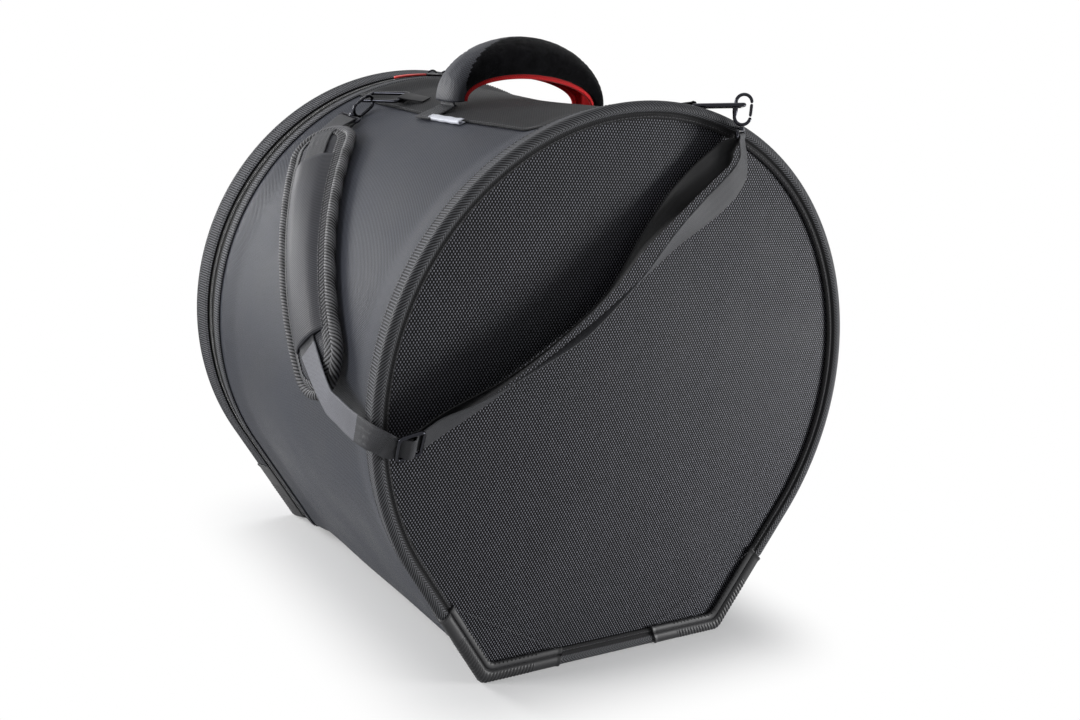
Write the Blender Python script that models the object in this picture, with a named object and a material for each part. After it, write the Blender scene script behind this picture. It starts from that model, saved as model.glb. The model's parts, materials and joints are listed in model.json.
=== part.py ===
"""Drum bag: a soft zipped bag for a bass drum, standing on its two rims.

Metres, +Z up. X runs across the bag and Y from the front panel to the rear lid. The origin is the
middle of the front rim's flat base edge, at floor level. An inset is a distance inwards from the
rim's outline, and a height is a distance outwards from the wall's outer face.
"""
import math

import bmesh
import bpy
import numpy as np
from mathutils import Matrix, Vector

# Driving dimensions of the whole bag
RIM_RADIUS = 0.280
BASE_HALF_WIDTH = 0.1495
BAG_DEPTH = 0.470
GAP = 0.0003

# Rim outline: an arc closed by two straight flanks and a flat base
RIM_CENTRE = RIM_RADIUS
RIM_CORNER_RADIUS = 0.012
PATCH_ARM = 0.090
PATCH_STEP = 0.0012
ARC_STEPS = 19
CORNER_STEPS = 4

# Wall layers
WALL_INSET = 0.0065
WALL_SINK = 0.0040
TOP_SAG = 0.0065
COVER_THICKNESS = 0.0012
FOAM_THICKNESS = 0.0110
LINING_THICKNESS = 0.0008
SHOULDER = 0.042
PANEL_DOME = 0.0080
LID_DOME = 0.0050

# Rim binding and its corner patches
BINDING_LAND = 0.0030
BINDING_WALL_REACH = 0.0225
BINDING_WALL_RISE = 0.0045
BINDING_PANEL_REACH = 0.0160
BINDING_PANEL_SET = 0.0030
BINDING_TAPE = 0.0016
PATCH_THICKNESS = 0.0010
PATCH_OVERHANG = 0.0015

# Zip, welt and base gusset
ZIP_FROM_REAR = 0.0340
ZIP_TAPE_THICKNESS = 0.0008
COIL_HALF_WIDTH = 0.0030
COIL_HEIGHT = 0.0017
BODY_TAPE_WIDTH = 0.0164
WELT_WIDTH = 0.0160
WELT_THICKNESS = 0.0018
WELT_FROM_ZIP = 0.0100
SLIDER_LENGTH = 0.0150
SLIDER_WIDTH = 0.0100
SLIDER_PLATE = 0.0018
SLIDER_WALL = 0.0013
SLIDER_SPACING = 0.0030
PULL_LENGTH = 0.0410
PULL_WIDTH = 0.0080
PULL_THICKNESS = 0.0022

# Top reinforcement panel and side tag
TOP_PANEL_HALF_WIDTH = 0.121
TOP_PANEL_THICKNESS = 0.0009
TAG_CENTRE = 0.195
TAG_LENGTH = 0.078
TAG_REACH = 0.0110
TAG_LOOP = 0.0042
TAG_THICKNESS = 0.0007

# Handle
HANDLE_OUTER_HALF = 0.0880
HANDLE_OUTER_RISE = 0.0670
HANDLE_INNER_HALF = 0.0620
HANDLE_INNER_RISE = 0.0270
HANDLE_BASE = 0.5400
HANDLE_AXIS_RISE = 0.0115
HANDLE_PLACE = 0.245
HANDLE_HALF_WIDTH = 0.0230
HANDLE_CORNER = 0.0050
HANDLE_COVER = 0.0022
HANDLE_FOAM = 0.0030
HANDLE_LINER = 0.0012
HANDLE_WEB_THICKNESS = 0.0020
HANDLE_WEB_HALF = 0.0155
FOOT_LENGTH = 0.040
FOOT_TIP_HALF = 0.0015

# Strap webbing and shoulder pad
WEB_WIDTH = 0.0250
WEB_THICKNESS = 0.0014
ROUTE_STEPS = 3
PAD_START_ARC = 0.200
PAD_START_PLACE = 0.339
PAD_LENGTH = 0.340
PAD_SLOPE = math.radians(-45.1)
PAD_HALF_WIDTH = 0.0320
PAD_EDGE = 0.0060
PAD_CROWN = 0.0160
PAD_LIFT = 0.0010
PIPING_RADIUS = 0.0034
SLEEVE_THICKNESS = 0.0012

# Rings, hooks and tri-glide
RING_WIRE = 0.0020
RING_LENGTH = 0.048
RING_HALF_WIDTH = 0.0130
RING_CORNER = 0.0030
HOOK_WIRE = 0.0015
HOOK_HALF_WIDTH = 0.0075
HOOK_LENGTH = 0.0285
HOOK_SLACK = 0.0006
GATE_WIRE = 0.0012
GATE_PLAY = 0.0007
COLLAR_RADIUS = 0.0034
COLLAR_LENGTH = 0.0040
EYE_WIRE = 0.0015
EYE_DROP = 0.0054
EYE_PLAY = 0.0014
GLIDE_WIRE = 0.0015
GLIDE_HALF_LENGTH = 0.0120
TAB_WIDTH = 0.0170
TAB_SEAM_LIFT = 0.0026
TAB_REACH = 0.0300

# Places of the hardware, from the rims and the wall
FRONT_FOOT_DROP = 0.0035
FRONT_TIP_RISE = 0.0014
FRONT_RING_FOOT = Vector((0.0520, 0.0200, RIM_CENTRE + RIM_RADIUS - FRONT_FOOT_DROP))
FRONT_RING_TIP = Vector((0.0904, -0.0088, RIM_CENTRE + RIM_RADIUS + FRONT_TIP_RISE))
FRONT_RING_SIDE = Vector((0.582, 0.776, -0.240))
FRONT_HOOK_OFFSET = -0.0060
FRONT_HOOK_RISE = 0.0050
FRONT_EYE_BAR = Vector((0.800, 0.610, 0.0))
REAR_RING_ARC = 0.105
REAR_RING_PLACE = 0.331
REAR_RING_LIFT = 0.0066
REAR_RING_TIP_ARC = 0.131
REAR_RING_TIP_PLACE = 0.376
REAR_RING_TIP_LIFT = 0.0125
REAR_HOOK_SHARE = 0.74
REAR_HOOK_AIM_ARC = 0.190
REAR_HOOK_AIM_PLACE = 0.347
REAR_HOOK_AIM_LIFT = 0.0080
GLIDE_SHARES = (-0.899285714, -0.085)
GLIDE_PLACE = -0.0175
GLIDE_RISE = math.radians(11.5)
GLIDE_LEAN = math.radians(30)

# Colours (linear) and finishes
NYLON_BLACK = (0.020, 0.020, 0.024)
WEAVE_GREY = (0.045, 0.046, 0.050)
BINDING_GREY = (0.022, 0.022, 0.024)
FOAM_GREY = (0.090, 0.090, 0.095)
LINING_BLACK = (0.015, 0.015, 0.017)
VELOUR_BLACK = (0.010, 0.010, 0.012)
LINER_RED = (0.550, 0.010, 0.012)
PULL_RED = (0.700, 0.035, 0.030)
WEB_GREY = (0.040, 0.040, 0.043)
TAG_WHITE = (0.800, 0.810, 0.850)
METAL_BLACK = (0.060, 0.060, 0.065)

SMOOTH_ANGLE = math.radians(35)


# Outline of a rim
def flank_angle():
    """Angle, from +X, at which the straight flank leaves the arc."""
    reach = math.hypot(BASE_HALF_WIDTH, RIM_CENTRE)
    return math.acos(RIM_RADIUS / reach) + math.atan2(-RIM_CENTRE, BASE_HALF_WIDTH)


def corner_arc(inset):
    """Points of the rounded base corner, from the base to the flank."""
    angle = flank_angle()
    normal = Vector((math.cos(angle), math.sin(angle)))
    floor = inset
    corner_x = (RIM_RADIUS - inset - normal.y * (floor - RIM_CENTRE)) / normal.x
    corner = Vector((corner_x, floor))
    up_flank = Vector((-normal.y, normal.x))
    along_base = Vector((-1.0, 0.0))
    half = math.acos(up_flank.dot(along_base)) / 2
    centre = corner + (up_flank + along_base).normalized() * (RIM_CORNER_RADIUS / math.sin(half))
    points = []
    for step in range(CORNER_STEPS + 1):
        turn = -math.pi / 2 + (angle + math.pi / 2) * step / CORNER_STEPS
        points.append(centre + Vector((math.cos(turn), math.sin(turn))) * RIM_CORNER_RADIUS)
    return points


def right_half(inset):
    """Outline points from the base's middle to the top, on the +X side."""
    angle = flank_angle()
    normal = Vector((math.cos(angle), math.sin(angle)))
    patch_end = BASE_HALF_WIDTH - PATCH_ARM
    points = [Vector((0.0, inset))]
    points.append(Vector((patch_end - PATCH_STEP, inset)))
    points.append(Vector((patch_end, inset)))
    points += corner_arc(inset)
    up_flank = Vector((-normal.y, normal.x))
    corner = Vector((BASE_HALF_WIDTH, 0.0))
    for distance in (PATCH_ARM, PATCH_ARM + PATCH_STEP):
        points.append(corner + up_flank * distance - normal * inset)
    for step in range(ARC_STEPS + 1):
        turn = angle + (math.pi / 2 - angle) * step / ARC_STEPS
        radius = RIM_RADIUS - inset
        points.append(Vector((radius * math.cos(turn), RIM_CENTRE + radius * math.sin(turn))))
    return points


def outline(inset):
    """Closed outline at an inset: base middle, +X flank, top, -X flank."""
    right = right_half(inset)
    left = [Vector((-point.x, point.y)) for point in reversed(right[1:-1])]
    return right + left


BASE_STEP_INDEX = 1
BASE_PATCH_INDEX = 2
FLANK_START_INDEX = BASE_PATCH_INDEX + 1 + CORNER_STEPS
FLANK_PATCH_INDEX = FLANK_START_INDEX + 1
TOP_INDEX = len(right_half(0.0)) - 1
OUTLINE_COUNT = 2 * TOP_INDEX
TAPE_ENDS = (BASE_STEP_INDEX, OUTLINE_COUNT - BASE_STEP_INDEX)
COIL_ENDS = (FLANK_START_INDEX, OUTLINE_COUNT - FLANK_START_INDEX)
BASE_RUN_HALF = BASE_HALF_WIDTH - PATCH_ARM - PATCH_STEP - GAP


def in_patch_zone(index):
    """Whether an outline point lies under a corner patch."""
    nearest = min(index, OUTLINE_COUNT - index)
    return BASE_PATCH_INDEX <= nearest <= FLANK_PATCH_INDEX


# The wall's outer face
WALL_START = BINDING_PANEL_SET + BINDING_TAPE + GAP + COVER_THICKNESS + 2 * GAP
BINDING_EDGE = BINDING_LAND / 2 + BINDING_WALL_REACH
ZIP_LINE = BAG_DEPTH - ZIP_FROM_REAR
WELT_REAR = ZIP_LINE - WELT_FROM_ZIP
WELT_FRONT = WELT_REAR - WELT_WIDTH
WALL_END = ZIP_LINE - GAP / 2 - BODY_TAPE_WIDTH - GAP
WALL_STATIONS = [
    WALL_START,
    BINDING_EDGE + GAP,
    BINDING_EDGE + SHOULDER,
    BAG_DEPTH / 2,
    WELT_FRONT - SHOULDER,
    WELT_FRONT - GAP,
    WALL_END,
]
SINK_SHARES = [0.0, 0.0, 1.0, 1.0, 1.0, 0.0, 0.0]
SAG_SHARES = [0.0, 0.0, 0.45, 1.0, 0.50, 0.0, 0.0]


def wall_inset(place, top_share):
    """Inset of the wall's outer face at a Y place; top_share is 1 on the top line."""
    sink = np.interp(place, WALL_STATIONS, SINK_SHARES)
    sag = np.interp(place, WALL_STATIONS, SAG_SHARES)
    return WALL_INSET + WALL_SINK * float(sink) + TOP_SAG * float(sag) * max(0.0, top_share)


def wall_point(arc, place, height):
    """Point over the arched wall; arc is the length round the rim from the top, +arc on -X."""
    turn = arc / RIM_RADIUS
    radius = RIM_RADIUS - wall_inset(place, math.cos(turn)) + height
    return Vector((-radius * math.sin(turn), place, RIM_CENTRE + radius * math.cos(turn)))


def wall_normal(arc):
    """Outward direction of the arched wall."""
    turn = arc / RIM_RADIUS
    return Vector((-math.sin(turn), 0.0, math.cos(turn)))


# Objects and materials
def clear_scene():
    """Remove every object of the open scene."""
    for old in list(bpy.data.objects):
        bpy.data.objects.remove(old)


def finish(name, colour, roughness, metallic=0.0):
    """Principled material of one finish."""
    material = bpy.data.materials.new(name)
    material.use_nodes = True
    shader = material.node_tree.nodes["Principled BSDF"]
    shader.inputs["Base Color"].default_value = (*colour, 1.0)
    shader.inputs["Roughness"].default_value = roughness
    shader.inputs["Metallic"].default_value = metallic
    material.diffuse_color = (*colour, 1.0)
    return material


def axis_empty(name, place):
    """Empty on a joint's axis, which carries that joint's pieces."""
    empty = bpy.data.objects.new(name, None)
    empty.location = place
    bpy.context.collection.objects.link(empty)
    return empty


def place_object(name, data, material, pivot):
    """Link an object whose data is given in the pivot's own space."""
    piece = bpy.data.objects.new(name, data)
    data.materials.append(material)
    bpy.context.collection.objects.link(piece)
    if pivot is not None:
        piece.parent = pivot
    return piece


def mesh_object(name, bm, material, pivot=None):
    """Make a node from a bmesh in world coordinates."""
    bmesh.ops.recalc_face_normals(bm, faces=bm.faces)
    if pivot is not None:
        bmesh.ops.translate(bm, vec=-pivot.location, verts=bm.verts)
    mesh = bpy.data.meshes.new(name)
    bm.to_mesh(mesh)
    bm.free()
    mesh.shade_smooth()
    mesh.set_sharp_from_angle(angle=SMOOTH_ANGLE)
    return place_object(name, mesh, material, pivot)


def sweep_mesh(rings, closed):
    """Bridge rings of points into one closed body, capped unless the path is closed."""
    bm = bmesh.new()
    loops = [[bm.verts.new(point) for point in ring] for ring in rings]
    spans = len(loops) if closed else len(loops) - 1
    for index in range(spans):
        near = loops[index]
        far = loops[(index + 1) % len(loops)]
        for corner in range(len(near)):
            following = (corner + 1) % len(near)
            bm.faces.new((near[corner], near[following], far[following], far[corner]))
    if not closed:
        bm.faces.new(loops[0])
        bm.faces.new(list(reversed(loops[-1])))
    return bm


def tube_mesh(points, radius, cyclic=False, sides=8):
    """Round wire through points, with square ends unless it is cyclic."""
    count = len(points)
    rings = []
    side = None
    for index, point in enumerate(points):
        before = points[(index - 1) % count] if cyclic or index else point
        after = points[(index + 1) % count] if cyclic or index < count - 1 else point
        tangent = (after - before).normalized()
        if side is None:
            side = tangent.orthogonal().normalized()
        side = (side - tangent * side.dot(tangent)).normalized()
        other = tangent.cross(side)
        ring = []
        for step in range(sides):
            turn = 2 * math.pi * step / sides
            ring.append(point + (side * math.cos(turn) + other * math.sin(turn)) * radius)
        rings.append(ring)
    if cyclic:
        rings = untwist(rings)
    return sweep_mesh(rings, cyclic)


def untwist(rings):
    """Start each ring at its point nearest the last ring's start, so a closed wire meets itself."""
    first = rings[0][0]
    last = rings[-1]
    shift = min(range(len(last)), key=lambda index: (last[index] - first).length)
    count = len(rings)
    turned = []
    for index, ring in enumerate(rings):
        step = round(shift * index / (count - 1))
        turned.append(ring[step:] + ring[:step])
    return turned


def rounded_corner(corner, start, end, radius, steps=3):
    """Arc that rounds the corner between two neighbouring points."""
    to_start = (start - corner).normalized()
    to_end = (end - corner).normalized()
    half = math.acos(max(-1.0, min(1.0, to_start.dot(to_end)))) / 2
    centre = corner + (to_start + to_end).normalized() * (radius / math.sin(half))
    first = (corner + to_start * (radius / math.tan(half)) - centre).normalized()
    last = (corner + to_end * (radius / math.tan(half)) - centre).normalized()
    return [centre + first.slerp(last, step / steps) * radius for step in range(steps + 1)]


def rounded_loop(corners, radius):
    """Closed polyline with each corner rounded."""
    count = len(corners)
    points = []
    for index, corner in enumerate(corners):
        before = corners[index - 1]
        after = corners[(index + 1) % count]
        points += rounded_corner(corner, before, after, radius)
    return points


# Pieces that follow the rim's outline
def rim_rings(section, indices, extra=None):
    """Copies of an (inset, place) section, one for each outline index."""
    rings = []
    for index in indices:
        ring = []
        for inset, place in section:
            added = extra(index, place) if extra else 0.0
            point = outline(inset + added)[index % OUTLINE_COUNT]
            ring.append(Vector((point.x, place, point.y)))
        rings.append(ring)
    return rings


def rim_ring(name, section, material, extra=None, pivot=None):
    """A piece that runs all the way round the rim."""
    rings = rim_rings(section, range(OUTLINE_COUNT), extra)
    return mesh_object(name, sweep_mesh(rings, True), material, pivot)


def rim_strip(name, section, first, last, material, extra=None, pivot=None):
    """A piece that runs round the rim from one outline index to another."""
    rings = rim_rings(section, range(first, last + 1), extra)
    return mesh_object(name, sweep_mesh(rings, False), material, pivot)


def base_run(name, section, half_length, material, pivot=None):
    """A straight piece along the flat base, with an (inset, place) section."""
    rings = [[Vector((side, place, inset)) for inset, place in section] for side in (-half_length, half_length)]
    return mesh_object(name, sweep_mesh(rings, False), material, pivot)


CROWN_SHARES = [0.955, 0.84, 0.58, 0.25]


def crowned_disc(name, inset, outer, inner, dome_outer, dome_inner, material, pivot=None):
    """Panel across the rim; its two faces are at the places outer and inner, each with its own dome."""
    edge = outline(inset)
    centre = Vector((0.0, RIM_CENTRE))
    flat = CROWN_SHARES[0]

    def crown_rings(place, dome):
        rings = []
        for share in CROWN_SHARES:
            rise = dome * (1 - (share / flat) ** 2)
            ring = [centre + (point - centre) * share for point in edge]
            rings.append([Vector((point.x, place + rise, point.y)) for point in ring])
        return rings

    def edge_ring(place):
        return [Vector((point.x, place, point.y)) for point in edge]

    rings = [edge_ring(outer), edge_ring(inner)]
    if dome_outer:
        rings = list(reversed(crown_rings(outer, dome_outer))) + rings
    if dome_inner:
        rings += crown_rings(inner, dome_inner)
    return mesh_object(name, sweep_mesh(rings, False), material, pivot)


def patch_drop(index, _place):
    """Extra inset that sinks the binding under a corner patch."""
    return PATCH_THICKNESS + GAP if in_patch_zone(index) else 0.0


def front_place(depth):
    """Place of a depth behind the front rim."""
    return depth


def rear_place(depth):
    """Place of a depth in front of the rear rim."""
    return BAG_DEPTH - depth


def binding_section(side):
    """V-shaped tape over a rim: a flat land, the wall face and the panel face."""
    under = WALL_INSET - GAP
    shelf = BINDING_PANEL_SET + BINDING_TAPE
    return [
        (0.0, side(-BINDING_LAND / 2)),
        (0.0, side(BINDING_LAND / 2)),
        (BINDING_WALL_RISE, side(BINDING_EDGE)),
        (under - PATCH_THICKNESS - GAP, side(BINDING_EDGE)),
        (under - PATCH_THICKNESS - GAP, side(shelf)),
        (BINDING_PANEL_REACH, side(shelf)),
        (BINDING_PANEL_REACH, side(BINDING_PANEL_SET)),
    ]


def patch_section(side):
    """Folded patch that wraps the binding at a base corner."""
    land = BINDING_LAND / 2
    reach = BINDING_PANEL_REACH + PATCH_OVERHANG
    edge = BINDING_EDGE + PATCH_OVERHANG
    return [
        (0.0, side(-land - PATCH_OVERHANG)),
        (0.0, side(land)),
        (BINDING_WALL_RISE, side(edge)),
        (BINDING_WALL_RISE + PATCH_THICKNESS, side(edge)),
        (PATCH_THICKNESS, side(land)),
        (PATCH_THICKNESS, side(-land - PATCH_OVERHANG + PATCH_THICKNESS)),
        (reach, side(BINDING_PANEL_SET - GAP)),
        (reach, side(BINDING_PANEL_SET - PATCH_THICKNESS - GAP)),
    ]


def build_wall(finishes):
    """Cover, foam and lining of the tube-shaped wall."""
    foam_start = WALL_START + FOAM_THICKNESS + LINING_THICKNESS + 3 * GAP
    foam_end = ZIP_LINE - COIL_HALF_WIDTH - GAP
    layers = [
        ("body_cover", 0.0, COVER_THICKNESS, WALL_START, WALL_END, finishes["nylon"]),
        ("body_foam", COVER_THICKNESS + GAP, FOAM_THICKNESS, foam_start, foam_end, finishes["foam"]),
        (
            "body_lining",
            COVER_THICKNESS + FOAM_THICKNESS + 2 * GAP,
            LINING_THICKNESS,
            foam_start,
            foam_end,
            finishes["lining"],
        ),
    ]
    top_line = [max(0.0, (point.y - RIM_CENTRE) / RIM_RADIUS) for point in outline(0.0)]

    def wall_extra(index, place):
        return wall_inset(place, top_line[index % OUTLINE_COUNT]) - WALL_INSET

    for name, depth, thickness, start, end, material in layers:
        places = [start] + [place for place in WALL_STATIONS if start < place < end] + [end]
        outer = [(WALL_INSET + depth, place) for place in places]
        inner = [(WALL_INSET + depth + thickness, place) for place in reversed(places)]
        rim_ring(name, outer + inner, material, wall_extra)


def build_front(finishes):
    """Front panel, its binding and the two corner patches."""
    cover_front = BINDING_PANEL_SET + BINDING_TAPE + GAP
    cover_back = cover_front + COVER_THICKNESS
    foam_front = cover_back + GAP
    foam_back = foam_front + FOAM_THICKNESS
    lining_front = foam_back + GAP
    inner_inset = WALL_INSET + COVER_THICKNESS + GAP
    crowned_disc(
        "front_panel_cover", WALL_INSET, cover_front, cover_back, -PANEL_DOME, -PANEL_DOME, finishes["weave"]
    )
    crowned_disc("front_panel_foam", inner_inset, foam_front, foam_back, -PANEL_DOME, 0.0, finishes["foam"])
    crowned_disc(
        "front_panel_lining",
        inner_inset,
        lining_front,
        lining_front + LINING_THICKNESS,
        0.0,
        0.0,
        finishes["lining"],
    )
    rim_ring("front_binding", binding_section(front_place), finishes["binding"], patch_drop)
    build_patches("front", front_place, finishes["patch"], None)


def build_patches(prefix, side, material, pivot):
    """The two folded patches at the base corners of one rim."""
    section = patch_section(side)
    right = (BASE_PATCH_INDEX, FLANK_PATCH_INDEX)
    left = (OUTLINE_COUNT - FLANK_PATCH_INDEX, OUTLINE_COUNT - BASE_PATCH_INDEX)
    rim_strip(f"{prefix}_corner_patch_right", section, *right, material, pivot=pivot)
    rim_strip(f"{prefix}_corner_patch_left", section, *left, material, pivot=pivot)


def build_lid(finishes):
    """Rear lid with its binding, patches, zip tape and coil, on the hinge along the base."""
    hinge = axis_empty("lid_axis", Vector((0.0, rear_place(-BINDING_LAND / 2 - PATCH_OVERHANG), 0.0)))
    cover_back = rear_place(BINDING_PANEL_SET + BINDING_TAPE + GAP)
    cover_front = cover_back - COVER_THICKNESS
    foam_back = cover_front - GAP
    foam_front = foam_back - FOAM_THICKNESS
    lining_back = foam_front - GAP
    edge = WALL_INSET + ZIP_TAPE_THICKNESS + GAP
    crowned_disc("lid_cover", WALL_INSET, cover_back, cover_front, LID_DOME, LID_DOME, finishes["weave"], hinge)
    crowned_disc("lid_foam", edge, foam_back, foam_front, LID_DOME, 0.0, finishes["foam"], hinge)
    crowned_disc(
        "lid_lining", edge, lining_back, lining_back - LINING_THICKNESS, 0.0, 0.0, finishes["lining"], hinge
    )
    rim_strip(
        "rear_binding",
        binding_section(rear_place),
        *TAPE_ENDS,
        finishes["binding"],
        patch_drop,
        hinge,
    )
    build_patches("rear", rear_place, finishes["patch"], hinge)
    under = WALL_INSET - GAP
    shelf = BINDING_PANEL_SET + BINDING_TAPE
    split = BINDING_LAND / 2 - GAP
    lid_half = [
        (0.0, rear_place(-BINDING_LAND / 2)),
        (BINDING_PANEL_REACH, rear_place(BINDING_PANEL_SET)),
        (BINDING_PANEL_REACH, rear_place(shelf)),
        (under, rear_place(shelf)),
        (under / 2, rear_place(BINDING_PANEL_SET)),
        (0.0, rear_place(split)),
    ]
    base_run("lid_base_binding", lid_half, BASE_RUN_HALF, finishes["binding"], hinge)
    body_half = [
        (0.0, rear_place(split + GAP)),
        (BINDING_WALL_RISE, rear_place(BINDING_EDGE)),
        (under, rear_place(BINDING_EDGE)),
        (under, rear_place(shelf + 2 * GAP)),
        (under / 2, rear_place(BINDING_PANEL_SET + 2 * GAP)),
    ]
    base_run("rear_base_binding", body_half, BASE_RUN_HALF, finishes["binding"])
    tape_back = cover_front - GAP
    tape = zip_tape_section(ZIP_LINE + GAP / 2, tape_back)
    rim_strip("zip_tape_lid", tape, *TAPE_ENDS, finishes["tape"], pivot=hinge)
    coil = coil_section(ZIP_LINE + GAP / 2, ZIP_LINE + COIL_HALF_WIDTH)
    rim_strip("zip_coil_lid", coil, *COIL_ENDS, finishes["coil"], pivot=hinge)


def zip_tape_section(start, end):
    """Flat tape in line with the wall's cover."""
    top = WALL_INSET
    bottom = WALL_INSET + ZIP_TAPE_THICKNESS
    return [(top, start), (top, end), (bottom, end), (bottom, start)]


def coil_section(start, end):
    """Half of the zip's coil, a low ridge on the tape."""
    bottom = WALL_INSET - GAP
    top = bottom - COIL_HEIGHT
    return [(top, start), (top, end), (bottom, end), (bottom, start)]


def build_zip_body(finishes):
    """Body side of the zip: tape, coil, welt and the gusset under the hinge."""
    tape_start = ZIP_LINE - GAP / 2 - BODY_TAPE_WIDTH
    tape = zip_tape_section(tape_start, ZIP_LINE - GAP / 2)
    rim_strip("zip_tape_body", tape, *TAPE_ENDS, finishes["tape"])
    coil = coil_section(ZIP_LINE - COIL_HALF_WIDTH, ZIP_LINE - GAP / 2)
    rim_strip("zip_coil_body", coil, *COIL_ENDS, finishes["coil"])
    welt_bottom = WALL_INSET - GAP
    welt_top = welt_bottom - WELT_THICKNESS
    welt = [(welt_top, WELT_FRONT), (welt_top, WELT_REAR), (welt_bottom, WELT_REAR), (welt_bottom, WELT_FRONT)]
    rim_ring("rear_welt", welt, finishes["nylon"])
    gusset_back = rear_place(BINDING_PANEL_SET + BINDING_TAPE + COVER_THICKNESS + 2 * GAP)
    gusset = zip_tape_section(WELT_REAR + GAP, gusset_back)
    base_run("base_gusset", gusset, BASE_RUN_HALF, finishes["nylon"])


def turned(bm, arc):
    """Turn a mesh made at the top round the bag's axis by an arc length, +arc towards -X."""
    turn = Matrix.Rotation(-arc / RIM_RADIUS, 3, "Y")
    bmesh.ops.rotate(bm, cent=Vector((0.0, 0.0, RIM_CENTRE)), matrix=turn, verts=bm.verts)
    return bm


def build_slider(name, sign, finishes):
    """Zip slider astride the coil, with its pull lying away from the other slider."""
    top = RIM_CENTRE + RIM_RADIUS
    coil_top = top - WALL_INSET + GAP + COIL_HEIGHT
    roof = coil_top + 2 * GAP
    foot = coil_top - COIL_HEIGHT + 2 * GAP
    half = SLIDER_WIDTH / 2
    inner = half - SLIDER_WALL
    profile = [
        (-half, foot),
        (-half, roof + SLIDER_PLATE),
        (half, roof + SLIDER_PLATE),
        (half, roof),
        (-inner, roof),
        (-inner, foot),
    ]
    rings = []
    for side in (-SLIDER_LENGTH / 2, SLIDER_LENGTH / 2):
        rings.append([Vector((side, ZIP_LINE + across, height)) for across, height in profile])
    centre_arc = SLIDER_SPACING / 2 + SLIDER_LENGTH / 2
    axis = axis_empty(f"{name}_axis", Vector((0.0, ZIP_LINE, RIM_CENTRE)))
    bm = turned(sweep_mesh(rings, False), sign * centre_arc)
    mesh_object(f"zip_slider_{name}", bm, finishes["metal"], axis)
    pull_height = coil_top + GAP + PULL_THICKNESS / 2
    pull_root = Vector((-sign * (SLIDER_LENGTH / 2 + PULL_THICKNESS), ZIP_LINE, pull_height))
    bm = pull_mesh(pull_root, -sign)
    turned(bm, sign * centre_arc)
    root = pull_root - Vector((0.0, 0.0, RIM_CENTRE))
    root.rotate(Matrix.Rotation(-sign * centre_arc / RIM_RADIUS, 3, "Y"))
    pull_axis = axis_empty(f"{name}_pull_axis", root + Vector((0.0, 0.0, RIM_CENTRE)))
    mesh_object(f"zip_pull_{name}", bm, finishes["pull"], pull_axis)


PULL_WAIST_SHARES = [0.55, 0.62, 0.85, 1.0, 1.0, 0.80]
PULL_ALONG_SHARES = [0.0, 0.10, 0.25, 0.50, 0.90, 1.0]


def pull_mesh(root, direction):
    """Moulded tab that runs from its root in a direction along X, curved like the rim."""
    radius = root.z - RIM_CENTRE
    rings = []
    for share, waist in zip(PULL_ALONG_SHARES, PULL_WAIST_SHARES):
        turn = share * PULL_LENGTH / radius
        drop = radius * (1 - math.cos(turn))
        half = PULL_WIDTH / 2 * waist
        centre = root + Vector((direction * share * PULL_LENGTH, 0.0, -drop))
        up = Vector((0.0, 0.0, PULL_THICKNESS / 2))
        across = Vector((0.0, half, 0.0))
        rings.append([centre - across - up, centre + across - up, centre + across + up, centre - across + up])
    return sweep_mesh(rings, False)


def build_top_panel(finishes):
    """Reinforcement panel over the top of the wall and the folded tag in its side seam."""
    arcs = []
    for index in range(ARC_STEPS + 1):
        step = (math.pi / 2 - flank_angle()) * index / ARC_STEPS
        arc = step * RIM_RADIUS
        if arc < TOP_PANEL_HALF_WIDTH:
            arcs.append(arc)
    arcs.append(TOP_PANEL_HALF_WIDTH)
    arcs = [-arc for arc in reversed(arcs[1:])] + arcs
    places = [BINDING_EDGE + 2 * GAP]
    places += [place for place in WALL_STATIONS if BINDING_EDGE + 2 * GAP < place < WELT_FRONT - GAP]
    places.append(WELT_FRONT - GAP)
    rings = []
    for arc in arcs:
        upper = [wall_point(arc, place, GAP + TOP_PANEL_THICKNESS) for place in places]
        lower = [wall_point(arc, place, GAP) for place in reversed(places)]
        rings.append(upper + lower)
    mesh_object("top_reinforcement", sweep_mesh(rings, False), finishes["twill"])
    build_tag(finishes)


TAG_BEND_STEPS = 4


def build_tag(finishes):
    """White tag: a strip folded back on itself, held in the panel's side seam."""
    radius = TAG_LOOP / 2 - TAG_THICKNESS / 2
    start = TOP_PANEL_HALF_WIDTH + GAP
    straight = TAG_REACH - TAG_LOOP / 2
    middle = GAP + TAG_LOOP / 2

    def side(offset):
        points = [(start, middle - radius - offset)]
        for step in range(TAG_BEND_STEPS + 1):
            turn = -math.pi / 2 + math.pi * step / TAG_BEND_STEPS
            reach = start + straight + (radius + offset) * math.cos(turn)
            points.append((reach, middle + (radius + offset) * math.sin(turn)))
        points.append((start, middle + radius + offset))
        return points

    half = TAG_THICKNESS / 2
    section = side(half) + list(reversed(side(-half)))
    rings = []
    for share in (-0.5, 0.0, 0.5):
        place = TAG_CENTRE + share * TAG_LENGTH
        rings.append([wall_point(arc, place, height) for arc, height in section])
    mesh_object("side_tag", sweep_mesh(rings, False), finishes["tag"])


# Handle
HANDLE_TURNS = [math.radians(angle) for angle in (10, 25, 42, 60, 75, 90, 105, 120, 138, 155, 170)]


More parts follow.
